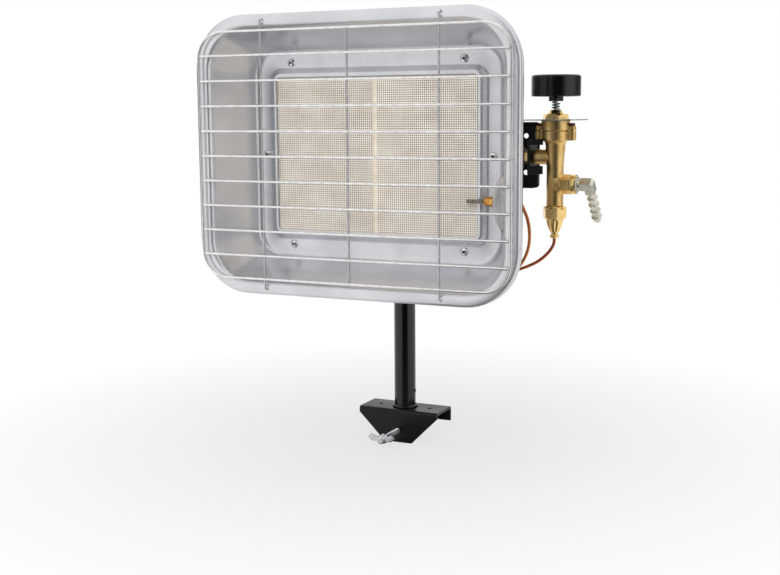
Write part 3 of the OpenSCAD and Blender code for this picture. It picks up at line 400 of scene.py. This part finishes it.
# ---- Ceramic plaques ----
# Two burner tiles side by side, pressed from cordierite and fired, each with some 3600 flame
# holes of 1.3 mm, 2.2 mm apart. A strip of cement closes the joint between them.
PLAQUE_Y, PLAQUE_T = 56.6, 13
PLAQUE_X, PLAQUE_Z, SEAM_X = 114.3, 81.3, 2.5
HOLES_ACROSS, HOLES_UP = 50, 73
WEB_HALF, HOLE_CORNER, HOLE_DEPTH = 0.45, 0.38, 2.5
RIM_Y, RIM_Z = -126, 277.5


def in_head(x, y, z):
    """The place of a point given in millimetres right, back and up from the middle of the rim."""
    return Vector((x, y + RIM_Y, z + RIM_Z)) / 1000


def head_mm(place):
    """The millimetres right, back and up from the middle of the rim, read back from a place."""
    return place.x * 1000, place.y * 1000 - RIM_Y, place.z * 1000 - RIM_Z


def extruded(x, y, z):
    """Extrudes what is selected by so many millimetres."""
    bpy.ops.mesh.extrude_region_move(TRANSFORM_OT_translate={"value": (x / 1000, y / 1000, z / 1000)})


middle = in_head((SEAM_X + PLAQUE_X) / 2, PLAQUE_Y, 0)
bpy.ops.object.select_all(action="DESELECT")
bpy.ops.mesh.primitive_grid_add(x_subdivisions=HOLES_ACROSS, y_subdivisions=HOLES_UP, size=2,
                                location=middle, rotation=(math.pi / 2, 0, 0))
right_plaque = bpy.context.object
right_plaque.name = "ceramic_plaque_right"
bpy.ops.object.transform_apply()
bpy.ops.object.mode_set(mode="EDIT")
bpy.ops.mesh.select_all(action="SELECT")
bpy.ops.transform.resize(value=((PLAQUE_X - SEAM_X) / 2000, 1, PLAQUE_Z / 1000), center_override=middle)
bpy.ops.mesh.inset(thickness=WEB_HALF / 1000, use_individual=True)
bpy.ops.mesh.bevel(offset=HOLE_CORNER / 1000, segments=1, affect="VERTICES")
mesh = bmesh.from_edit_mesh(right_plaque.data)
bpy.ops.mesh.select_all(action="DESELECT")
bpy.ops.mesh.select_mode(type="FACE")
for f in mesh.faces:
    f.select = len(f.verts) == 8
mesh.select_flush_mode()
extruded(0, HOLE_DEPTH, 0)
bpy.ops.mesh.select_mode(type="EDGE")
bpy.ops.mesh.select_all(action="DESELECT")
bpy.ops.mesh.select_non_manifold()
extruded(0, PLAQUE_T, 0)
bpy.ops.mesh.edge_face_add()
bpy.ops.mesh.select_all(action="SELECT")
bpy.ops.mesh.normals_make_consistent(inside=False)
bpy.ops.object.mode_set(mode="OBJECT")
bpy.ops.object.shade_flat()
bpy.ops.object.duplicate()
left_plaque = bpy.context.object
left_plaque.name = "ceramic_plaque_left"
left_plaque.location.x = -(SEAM_X + PLAQUE_X) / 1000
bpy.ops.object.transform_apply()

# Fired cordierite: matte beige, a little darker in clouds, with painted shade that turns it brown down
# each hole
SHADE_FROM, SHADE_TO, SHADE = 0.05, 1.1, "#6E5A48"
cordierite = surface("fired_cordierite", "#E8E0D5", "#DCD2C5", patch=0.02, metallic=0.0,
                     rough=0.9, spread=0.04, grain=0.0007, relief=0.00004)
tree = cordierite.node_tree
shader = tree.nodes["Principled BSDF"]
clouds = shader.inputs["Base Color"].links[0].from_socket
place = add(tree, "SeparateXYZ", {0: add(tree, "TexCoord", {}).outputs["Object"]})
# Painted shade: the colour turns brown from 0.05 mm to 1.1 mm into each hole, and stays brown deeper in
hole_depth_shade = add(tree, "MapRange", {"Value": place.outputs["Y"],
                              "From Min": in_head(0, PLAQUE_Y + SHADE_FROM, 0).y,
                              "From Max": in_head(0, PLAQUE_Y + SHADE_TO, 0).y})
shade = add(tree, "Mix", {0: hole_depth_shade.outputs["Result"], 6: clouds, 7: hex_colour(SHADE)}, data_type="RGBA")
tree.links.new(shade.outputs[2], shader.inputs["Base Color"])
finished(right_plaque, cordierite, "head", "plaque_ceramic", "plaque_right")
finished(left_plaque, cordierite, "head", "plaque_ceramic", "plaque_left")

# Cement: cream, dense and almost smooth, struck off with a spatula
cement = surface("furnace_cement", "#E3D8C8", "#D5C7B4", patch=0.01, metallic=0.0,
                 rough=0.85, spread=0.05, grain=0.0014, relief=0.0002)
bpy.ops.object.select_all(action="DESELECT")
bpy.ops.mesh.primitive_grid_add(x_subdivisions=6, y_subdivisions=90, size=2,
                                location=in_head(0, PLAQUE_Y, 0), rotation=(math.pi / 2, 0, 0))
seam = bpy.context.object
seam.name = "cement_seam"
bpy.ops.object.transform_apply()
bpy.ops.object.mode_set(mode="EDIT")
bpy.ops.mesh.select_all(action="SELECT")
bpy.ops.transform.resize(value=(SEAM_X / 1000, 1, PLAQUE_Z / 1000),
                         center_override=in_head(0, PLAQUE_Y, 0))
bpy.ops.mesh.select_all(action="DESELECT")
mesh = bmesh.from_edit_mesh(seam.data)
# The strip falls away by 0.6 mm to its edges, with faint ripples 7 mm and 3 mm long
for v in mesh.verts:
    across = v.co.x / (SEAM_X / 1000)
    ripple = 0.00012 * math.sin(v.co.z * 900) + 0.00008 * math.sin(v.co.z * 2300 + across * 2)
    v.co.y += (0.0006 + ripple) * across * across
bmesh.update_edit_mesh(seam.data)
bpy.ops.mesh.select_mode(type="EDGE")
bpy.ops.mesh.select_non_manifold()
extruded(0, PLAQUE_T - 1, 0)
bpy.ops.mesh.edge_face_add()
bpy.ops.mesh.select_all(action="SELECT")
bpy.ops.mesh.normals_make_consistent(inside=False)
bpy.ops.object.mode_set(mode="OBJECT")
bpy.ops.object.shade_smooth_by_angle(angle=math.radians(50))
finished(seam, cement, "head", "seam_cement", "plaque_seam")

# ---- Reflector pan ----
# One pressing of 1 mm steel with a satin silver coat: a rolled lip with a bead, a flat rim, sloping
# walls, a ledge for the screws, and a raised frame round the plaques. A seat for the thermocouple
# is struck into the right wall, and four holes in the rim take the guard's hooks.
# Half width, half height, corner radius and depth of each fold in millimetres, from the lip inwards
FOLDS = [(174.5, 139.5, 54.5, 9.0), (175.0, 140.0, 55.0, 8.3), (175.0, 140.0, 55.0, 5.7),
         (174.4, 139.4, 54.4, 5.0), (174.4, 139.4, 54.4, 4.2), (175.0, 140.0, 55.0, 3.5),
         (174.9, 139.9, 54.9, 2.6), (174.3, 139.3, 54.3, 1.2), (173.2, 138.2, 53.2, 0.3),
         (172.0, 137.0, 52.0, 0.0), (162.5, 130.5, 45.0, 0.0), (161.3, 129.3, 43.8, 0.25),
         (160.3, 128.3, 42.8, 1.0), (158.9, 126.9, 41.4, 3.2)]
# The wall is straight between these two, in so many strips
WALL_TOP, WALL_FOOT, WALL_STEPS = (158.9, 126.9, 41.4, 3.2), (139.6, 109.1, 29.0, 52.0), 14
FOLDS += [tuple(a + (b - a) * i / WALL_STEPS for a, b in zip(WALL_TOP, WALL_FOOT))
          for i in range(1, WALL_STEPS + 1)]
FOLDS += [(138.6, 108.1, 28.0, 54.4), (137.2, 106.7, 26.5, 56.6), (135.6, 105.1, 25.2, 58.0),
          (133.4, 102.9, 23.4, 58.8), (131.0, 100.5, 21.0, 59.0), (122.4, 89.4, 13.9, 59.0),
          (121.0, 88.0, 12.6, 58.7), (119.6, 86.6, 11.4, 57.8), (117.6, 84.6, 9.6, 55.2),
          (116.2, 83.2, 8.2, 54.3), (115.0, 82.0, 7.0, 54.0), (112.9, 79.9, 4.9, 54.0),
          (112.2, 79.2, 4.2, 54.3), (112.0, 79.0, 4.0, 55.0)]
LEDGE_Y, PAN_T, LONG_EDGE = 59, 0.001, 0.03
HOOK_X, HOOK_Z, HOOK_HOLE_R = 96, 133.75, 2.4
PROBE_Y, PROBE_Z, PROBE_HOLE_R, SEAT_X = 45, -42.7, 4, 134.5
# The seat curves out into the wall again, by SEAT_CURVE at a distance of SEAT_HALF_H above and below
# the probe, and by as much over the first SEAT_RUNOUT in front of SEAT_FRONT_Y
SEAT_CURVE, SEAT_HALF_H, SEAT_RUNOUT, SEAT_FRONT_Y = 12, 30, 8, 33

# How far a point may be off the fold that it belongs to
FOLD_SLACK = 0.01


def on_fold(point, half_x, half_z, corner, depth):
    """True for a point on the rounded rectangle of one fold."""
    x, y, z = head_mm(point)
    from_arc = math.hypot(max(abs(x) - half_x + corner, 0), max(abs(z) - half_z + corner, 0)) - corner
    return abs(y - depth) < FOLD_SLACK and abs(from_arc) < FOLD_SLACK


def take(*folds):
    """Selects the edges of these folds alone."""
    bpy.ops.mesh.select_all(action="DESELECT")
    mesh = bmesh.from_edit_mesh(bpy.context.object.data)
    for v in mesh.verts:
        v.select = any(on_fold(v.co, *fold) for fold in folds)
    mesh.select_flush(True)
    return mesh


bpy.ops.object.select_all(action="DESELECT")
bpy.ops.mesh.primitive_plane_add(size=1)
pan = bpy.context.object
pan.name = "pressed_reflector_pan"
bpy.ops.object.mode_set(mode="EDIT")
bpy.ops.mesh.delete(type="VERT")
for fold, before in zip(FOLDS, [None] + FOLDS):
    half_x, half_z, corner, depth = fold
    place = in_head(0, depth, 0)
    bpy.ops.mesh.select_all(action="DESELECT")
    bpy.ops.mesh.primitive_plane_add(size=2, location=place, rotation=(math.pi / 2, 0, 0))
    bpy.ops.transform.resize(value=(half_x / 1000, 1, half_z / 1000), center_override=place)
    bpy.ops.mesh.bevel(offset=corner / 1000, segments=12, affect="VERTICES")
    bpy.ops.mesh.delete(type="ONLY_FACE")
    mesh = take(fold)
    for e in mesh.edges:
        e.select = e.select and e.calc_length() > LONG_EDGE
    bpy.ops.mesh.subdivide(number_cuts=48)
    if before:
        take(before, fold)
        bpy.ops.mesh.bridge_edge_loops()
mesh = bmesh.from_edit_mesh(pan.data)
bpy.ops.mesh.select_all(action="SELECT")
bpy.ops.mesh.normals_make_consistent(inside=False)
ledge = next(f for f in mesh.faces
             if abs(f.calc_center_median().y - in_head(0, LEDGE_Y, 0).y) < 0.00001)
if ledge.normal.y > 0:
    bpy.ops.mesh.flip_normals()
# The thermocouple's seat: the right wall is pushed in to a flat face that runs out towards the rim
bpy.ops.mesh.select_all(action="DESELECT")
for v in mesh.verts:
    x, y, z = head_mm(v.co)
    limit = (SEAT_X + SEAT_CURVE * ((z - PROBE_Z) / SEAT_HALF_H) ** 2
             + SEAT_CURVE * (max(SEAT_FRONT_Y - y, 0) / SEAT_RUNOUT) ** 2)
    if WALL_TOP[3] + 0.1 < y < LEDGE_Y - 0.1 and x > limit:
        v.co.x = limit / 1000
        v.select = True
mesh.select_flush(True)
bmesh.update_edit_mesh(pan.data)
bpy.ops.mesh.vertices_smooth(factor=0.5, repeat=3)
bpy.ops.object.mode_set(mode="OBJECT")
sheet = pan.modifiers.new("sheet", "SOLIDIFY")
sheet.thickness, sheet.offset, sheet.use_even_offset = PAN_T, -1, True
bpy.ops.object.modifier_apply(modifier=sheet.name)

drills = []
for x in (-HOOK_X, HOOK_X):
    for z in (-HOOK_Z, HOOK_Z):
        bpy.ops.mesh.primitive_cylinder_add(vertices=32, radius=HOOK_HOLE_R / 1000, depth=0.01,
                                            location=in_head(x, 0, z), rotation=(math.pi / 2, 0, 0))
        drills.append(bpy.context.object)
bpy.ops.mesh.primitive_cylinder_add(vertices=32, radius=PROBE_HOLE_R / 1000, depth=0.02,
                                    location=in_head(SEAT_X, PROBE_Y, PROBE_Z),
                                    rotation=(0, math.pi / 2, 0))
drill = joined(bpy.context.object, *drills)
choose(pan)
cut = pan.modifiers.new("holes", "BOOLEAN")
cut.operation, cut.solver, cut.object = "DIFFERENCE", "EXACT", drill
bpy.ops.object.modifier_apply(modifier=cut.name)
bpy.data.objects.remove(drill)
bpy.ops.object.shade_smooth_by_angle(angle=math.radians(38))

# Satin coat on steel: light silver grey, even, softly shiny, with the faint grain of the spray
silver_coat = surface("satin_silver_coat", "#D6D7DA", "#CCCDD1", patch=0.05, metallic=0.78,
                      rough=0.24, spread=0.03, grain=0.0006, relief=0.000003)
finished(pan, silver_coat, "head", "pan_paint", "reflector_pan")

# ---- Burner screws ----
# Six steel screws with domed heads and a small hexagon socket hold housing and pan together.
# Polished, then zinc plated: a bright, smooth white silver
polished_zinc = surface("polished_zinc_plate", "#F4F5F6", "#E6E7E9", patch=0.003, metallic=0.9,
                        rough=0.16, spread=0.03, grain=0.0006, relief=0.000001)
screws = finished(eased(copied("burner_screws", "domed_burner_screws"), 0.0001), polished_zinc, "head",
                  "screw_zinc", "burner_screws")
# Painted shade: a near black finish on the faces deep in each socket, for the shade in the recess
socket_shade = surface("socket_painted_shade", "#1E1C1B", "#131211", patch=0.002, metallic=0.0,
               rough=0.8, spread=0.05, grain=0.0004, relief=0.00001)
screws.data.materials.append(socket_shade)
SCREW_SPOTS = [(side * 96.5, end * 93.95) for side in (-1, 1) for end in (-1, 1)]
SCREW_SPOTS += [(-126.6, 0), (126.6, 0)]
SOCKET_TOP_Y, SOCKET_FLOOR_Y, SOCKET_R = 56.5, 58.1, 1.55
# The faces deep in each socket, near a screw's axis, take the painted shade
for face in screws.data.polygons:
    x, y, z = head_mm(face.center)
    off_axis = min(math.dist((x, z), spot) for spot in SCREW_SPOTS)
    if SOCKET_TOP_Y < y < SOCKET_FLOOR_Y and off_axis < SOCKET_R:
        face.material_index = 1

# ---- Wire guard ----
# Steel wire, resistance welded and then nickel plated: a loop, nine cross wires butted into it,
# and three uprights behind them. The outer two are hooked through the rim.
# Bright nickel: mirror-like and faintly yellow
nickel = surface("bright_nickel_plate", "#F3F2F1", "#E4E3E2", patch=0.006, metallic=1.0,
                 rough=0.22, spread=0.05, grain=0.0010, relief=0.000002)
coated(nickel, "guard_frame", "guard_cross_wires")
# The uprights get a rougher copy of the nickel, painted a little greyer as shade, as they catch less of
# the bright room than the cross wires
shaded_nickel = surface("rough_nickel_plate_painted_shade", "#E6E6E8", "#D4D4D7", patch=0.008, metallic=1.0,
                       rough=0.46, spread=0.05, grain=0.0010, relief=0.000002)
coated(shaded_nickel, "guard_uprights")
# The beads of melted metal where wires are welded: one mesh, copied to every crossing and rail end
RAIL_Y, RAIL_PITCH, LOOP_X, LOOP_Z, LOOP_R, WIRE_R = -4.45, 25, 167.8, 123.5, 27, 1.25
BEAD_R, BEAD_SHAPE, BEAD_SINK = 1.2, (1.25, 0.55, 0.9), 0.35
bpy.ops.object.select_all(action="DESELECT")
bpy.ops.mesh.primitive_uv_sphere_add(segments=12, ring_count=8, radius=BEAD_R / 1000)
bead = bpy.context.object
bead.name = "weld_bead"
bpy.ops.object.mode_set(mode="EDIT")
bpy.ops.mesh.select_all(action="SELECT")
bpy.ops.transform.resize(value=BEAD_SHAPE)
bpy.ops.object.mode_set(mode="OBJECT")
# A rail near the top or bottom ends sooner, where the loop's corner rounds off
spots = []
for row in range(-4, 5):
    z = row * RAIL_PITCH
    over = max(0, abs(z) + WIRE_R - LOOP_Z + LOOP_R)
    end = LOOP_X - LOOP_R + math.sqrt((LOOP_R - WIRE_R) ** 2 - over ** 2)
    spots += [(x, RAIL_Y + WIRE_R + 0.05, z) for x in (-HOOK_X, 0, HOOK_X)]
    spots += [(side * (end + 0.1), RAIL_Y + BEAD_SINK, z) for side in (-1, 1)]
copies = []
for spot in spots:
    copy = bpy.data.objects.new("weld", bead.data.copy())
    bpy.context.scene.collection.objects.link(copy)
    copy.location = in_head(*spot)
    copies.append(copy)
welds = joined(*copies)
bpy.ops.object.transform_apply()
bpy.data.objects.remove(bead)
welds.name = "guard_welds"
bpy.ops.object.shade_smooth()
finished(welds, nickel, "head", "grille_wire")

# ---- Thermocouple ----
# A stainless probe in a brass nut stands through its seat in the right wall, with a lock nut
# behind. Its copper tube runs behind the pan in one hairpin and up to the foot of the valve.
# Turned brass: bright yellow, almost a mirror
bright_brass = surface("turned_brass", "#FBDD98", "#F5CF84", patch=0.005, metallic=1.0,
                       rough=0.24, spread=0.05, grain=0.0006, relief=0.000002)
finished(eased(copied("thermocouple_locknut", "probe_lock_nut"), 0.0003), bright_brass, "head",
         "bright_brass", "thermocouple_locknut")
# The nut inside the reflector has turned orange brown in the heat, and has lost some of its shine
heated_brass = surface("heat_browned_brass", "#E9B566", "#C98C42", patch=0.004, metallic=1.0,
                       rough=0.30, spread=0.06, grain=0.0006, relief=0.000003)
finished(eased(copied("thermocouple_nut", "probe_nut"), 0.0002), heated_brass, "head",
         "bright_brass", "thermocouple_nut")
# Heat-tinted stainless steel: straw to brown-grey patches from the flame
tinted_steel = surface("heat_tinted_stainless", "#9A8F84", "#6E6358", patch=0.004, metallic=1.0,
                       rough=0.36, spread=0.08, grain=0.0006, relief=0.00001)
finished(eased(copied("thermocouple_probe", "flame_probe"), 0.0002), tinted_steel, "head",
         "probe_steel", "thermocouple_probe")

# The tube's radius and the points of its route, in millimetres from the middle of the rim
LEAD_R = 1.6
LEAD_ROUTE = [(153.9, 45, -42.7), (158.7, 45, -42.7), (160.5, 48.5, -47), (163.5, 55, -60),
              (163.5, 61, -76), (159.5, 66, -92), (151, 69, -106), (138, 71, -116),
              (120, 71, -120), (102, 71, -120.5), (90, 73, -120.5), (83, 80, -120.5),
              (90, 87, -120.5), (104, 89, -119.5), (124, 89, -117.5), (142, 88, -113),
              (157, 87, -107), (167, 85.7, -101), (175, 85.2, -93.5), (179.7, 85.2, -86),
              (180.5, 85.2, -78.5), (180.5, 85.2, -65.5)]
curve = bpy.data.curves.new("copper_lead", "CURVE")
curve.dimensions, curve.bevel_depth, curve.bevel_resolution = "3D", LEAD_R / 1000, 3
curve.resolution_u, curve.use_fill_caps = 6, True
run = curve.splines.new("BEZIER")
run.bezier_points.add(len(LEAD_ROUTE) - 1)
# Each handle lies along the line between the two neighbours, a sixth of its length out
for i, knot in enumerate(run.bezier_points):
    here, back = in_head(*LEAD_ROUTE[i]), in_head(*LEAD_ROUTE[max(i - 1, 0)])
    ahead = in_head(*LEAD_ROUTE[min(i + 1, len(LEAD_ROUTE) - 1)])
    knot.co = here
    knot.handle_left, knot.handle_right = here - (ahead - back) / 6, here + (ahead - back) / 6
lead = bpy.data.objects.new("copper_lead", curve)
bpy.context.scene.collection.objects.link(lead)
choose(lead)
bpy.ops.object.convert(target="MESH")
bpy.ops.object.mode_set(mode="EDIT")
bpy.ops.mesh.select_all(action="SELECT")
bpy.ops.mesh.remove_doubles(threshold=0.00001)
bpy.ops.mesh.normals_make_consistent(inside=False)
bpy.ops.object.mode_set(mode="OBJECT")
bpy.ops.object.shade_smooth_by_angle(angle=math.radians(40))
# Drawn copper: orange, darker in patches a few centimetres long, and red brown on the run behind the
# pan up to the valve
BACK_RUN_BROWN, BACK_RUN_X, BACK_RUN_Y = "#C0664A", (0.140, 0.172), (-0.052, -0.045)
copper = surface("drawn_copper_tube", "#D68A55", "#B5613A", patch=0.03, metallic=1.0,
                 rough=0.28, spread=0.06, grain=0.0008, relief=0.000003)
tree = copper.node_tree
shader = tree.nodes["Principled BSDF"]
bare = shader.inputs["Base Color"].links[0].from_socket
place = add(tree, "SeparateXYZ", {0: add(tree, "TexCoord", {}).outputs["Object"]})
near_valve = add(tree, "MapRange", {"Value": place.outputs["X"], "From Min": BACK_RUN_X[0],
                                    "From Max": BACK_RUN_X[1]})
far_back = add(tree, "MapRange", {"Value": place.outputs["Y"], "From Min": BACK_RUN_Y[0],
                                  "From Max": BACK_RUN_Y[1]})
# Red brown where the tube is both near the valve and behind the pan
back_run_mask = add(tree, "Math", {0: near_valve.outputs[0], 1: far_back.outputs[0]}, operation="MULTIPLY")
brown = add(tree, "Mix", {0: back_run_mask.outputs[0], 6: bare, 7: hex_colour(BACK_RUN_BROWN)}, data_type="RGBA")
tree.links.new(brown.outputs[2], shader.inputs["Base Color"])
finished(lead, copper, "head", "lead_copper", "thermocouple_lead")

# ---- Valve tray and jet bracket ----
# A small tray of 1.5 mm steel screwed behind the housing, and a folded 2 mm bracket spot welded to
# it that holds jet and valve in line with the mixer tube. Both are powder coated black.
finished(eased(copied("valve_mount_plate", "valve_tray"), 0.0004), powder_black, "head",
         "black_paint", "valve_mount_plate")
finished(eased(copied("jet_bracket", "folded_jet_bracket"), 0.0004), powder_black, "head",
         "black_paint", "jet_bracket")
finished(eased(copied("mount_plate_screws", "tray_screws"), 0.0002), zinc, "head",
         "screw_zinc", "mount_plate_screws")
finished(eased(copied("jet", "brass_jet"), 0.0002), bright_brass, "head", "bright_brass", "jet")

# ---- Gas valve ----
# Body and bonnet are cast in brass and tumbled, so every edge is soft. Two lacquered screws hold
# the bonnet on its seal, and a steel plate lies between bonnet and gland nut.
# Cast brass: satin, brownish gold, with the fine skin of the sand mould
cast_brass = surface("tumbled_cast_brass", "#F2D08C", "#E2BA76", patch=0.010, metallic=1.0,
                     rough=0.38, spread=0.06, grain=0.0007, relief=0.000012)
finished(remeshed(copied("valve_body", "cast_valve_body"), 0.0005, 3), cast_brass, "head",
         "valve_brass", "valve_body")
finished(remeshed(copied("valve_bonnet", "cast_valve_bonnet"), 0.0005, 2), cast_brass, "head",
         "valve_brass", "valve_bonnet")
# Lacquered steel: dark reddish brown, slightly glossy
lacquer = surface("red_lacquered_steel", "#5A3126", "#43241C", patch=0.004, metallic=0.3,
                  rough=0.34, spread=0.06, grain=0.0006, relief=0.00001)
finished(eased(copied("bonnet_screws", "slotted_bonnet_screws"), 0.0003), lacquer, "head",
         "lug_screw", "bonnet_screws")
# Bare cold-rolled steel: light grey and smooth
bare_steel = surface("cold_rolled_steel", "#C9CACB", "#B3B5B6", patch=0.01, metallic=1.0,
                     rough=0.30, spread=0.06, grain=0.0005, relief=0.00001)
finished(eased(copied("control_plate", "valve_plate"), 0.0002), bare_steel, "head",
         "plate_steel", "control_plate")
finished(eased(copied("gland_nut", "gland_nut_turned"), 0.00015), bright_brass, "head",
         "bright_brass", "gland_nut")
# Nitrile rubber: black and dull
nitrile = surface("black_nitrile", "#262627", "#1C1C1D", patch=0.004, metallic=0.0,
                  rough=0.7, spread=0.05, grain=0.0005, relief=0.00001)
coated(nitrile, "bonnet_seal", "spindle_ring")

# ---- Flame-failure magnet and its fittings ----
# Under the body a brass nut holds the magnet, a fluted cap covers its contact, and a ferrule
# grips the copper tube. All three are turned from bar.
finished(eased(copied("magnet_nut", "magnet_housing_nut"), 0.00015), bright_brass, "head",
         "bright_brass", "magnet_nut")
finished(eased(copied("magnet_cap", "fluted_magnet_cap"), 0.0002), bright_brass, "head",
         "bright_brass", "magnet_cap")
finished(eased(copied("lead_ferrule", "lead_ferrule_turned"), 0.0002), bright_brass, "head",
         "bright_brass", "lead_ferrule")
# Nickel-plated steel: pale, satin
nickelled = surface("nickel_plated_steel", "#C8C6C2", "#B2B0AC", patch=0.004, metallic=1.0,
                    rough=0.30, spread=0.05, grain=0.0006, relief=0.00001)
coated(nickelled, "magnet_unit", "magnet_pushrod")
coated(cast_brass, "gas_plug")

# ---- Gas inlet and hose tail ----
# A brass ring and a plated nut seal a forged square elbow, whose tail has four barbs for the hose.
finished(eased(copied("inlet_ring", "inlet_ring_turned"), 0.0004), bright_brass, "head",
         "bright_brass", "inlet_ring")
# Passivated zinc on a forging: beige silver, softly shiny
yellow_zinc = surface("passivated_zinc_plate", "#DEDBCF", "#C6C3B4", patch=0.006, metallic=0.9,
                      rough=0.22, spread=0.04, grain=0.0009, relief=0.000001)
finished(eased(copied("inlet_nut", "inlet_lock_nut"), 0.0003), yellow_zinc, "head", "elbow_zinc",
         "inlet_nut")
finished(eased(copied("hose_elbow", "forged_hose_elbow"), 0.00015), yellow_zinc, "head",
         "elbow_zinc", "hose_elbow")

# ---- Spindle, springs and knob ----
# A steel spindle with a flat, and two coil springs of hard-drawn wire. The moulded knob has a
# hollow underside with six ribs, and a slotted hub that grips the spindle.
# Drawn spring steel: dark and shiny
spring_steel = surface("drawn_spring_steel", "#77787A", "#48494B", patch=0.003, metallic=1.0,
                       rough=0.22, spread=0.06, grain=0.0005, relief=0.000003)
finished(eased(copied("spindle", "valve_spindle"), 0.0002), bare_steel, "knob_set", "dark_steel",
         "spindle")
VALVE_AXIS = (180.5, 85.2)
SPRING_FOOT, SPRING_H, SPRING_GAP, WIRE, TURNS, COIL_R = 44.2, 8.135, 0.05, 1.1, 2.75, 3.7
# The spring keeps 3.1 of its 8.1 mm when the knob has gone down by 5 mm
spring = wound("return_spring_coil", 10, WIRE / 2000, COIL_R / 1000,
               (SPRING_H - WIRE - 2 * SPRING_GAP) / 1000, TURNS,
               in_head(*VALVE_AXIS, SPRING_FOOT + WIRE / 2 + SPRING_GAP))
finished(spring, spring_steel, "head", "dark_steel", "return_spring")
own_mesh(spring)
coated(spring_steel, "plug_spring")
finished(eased(copied("knob", "moulded_knob"), 0.0005), phenolic, "knob_set", "black_plastic",
         "knob")

# ---- View ----
bpy.context.scene.view_settings.view_transform = "Standard"
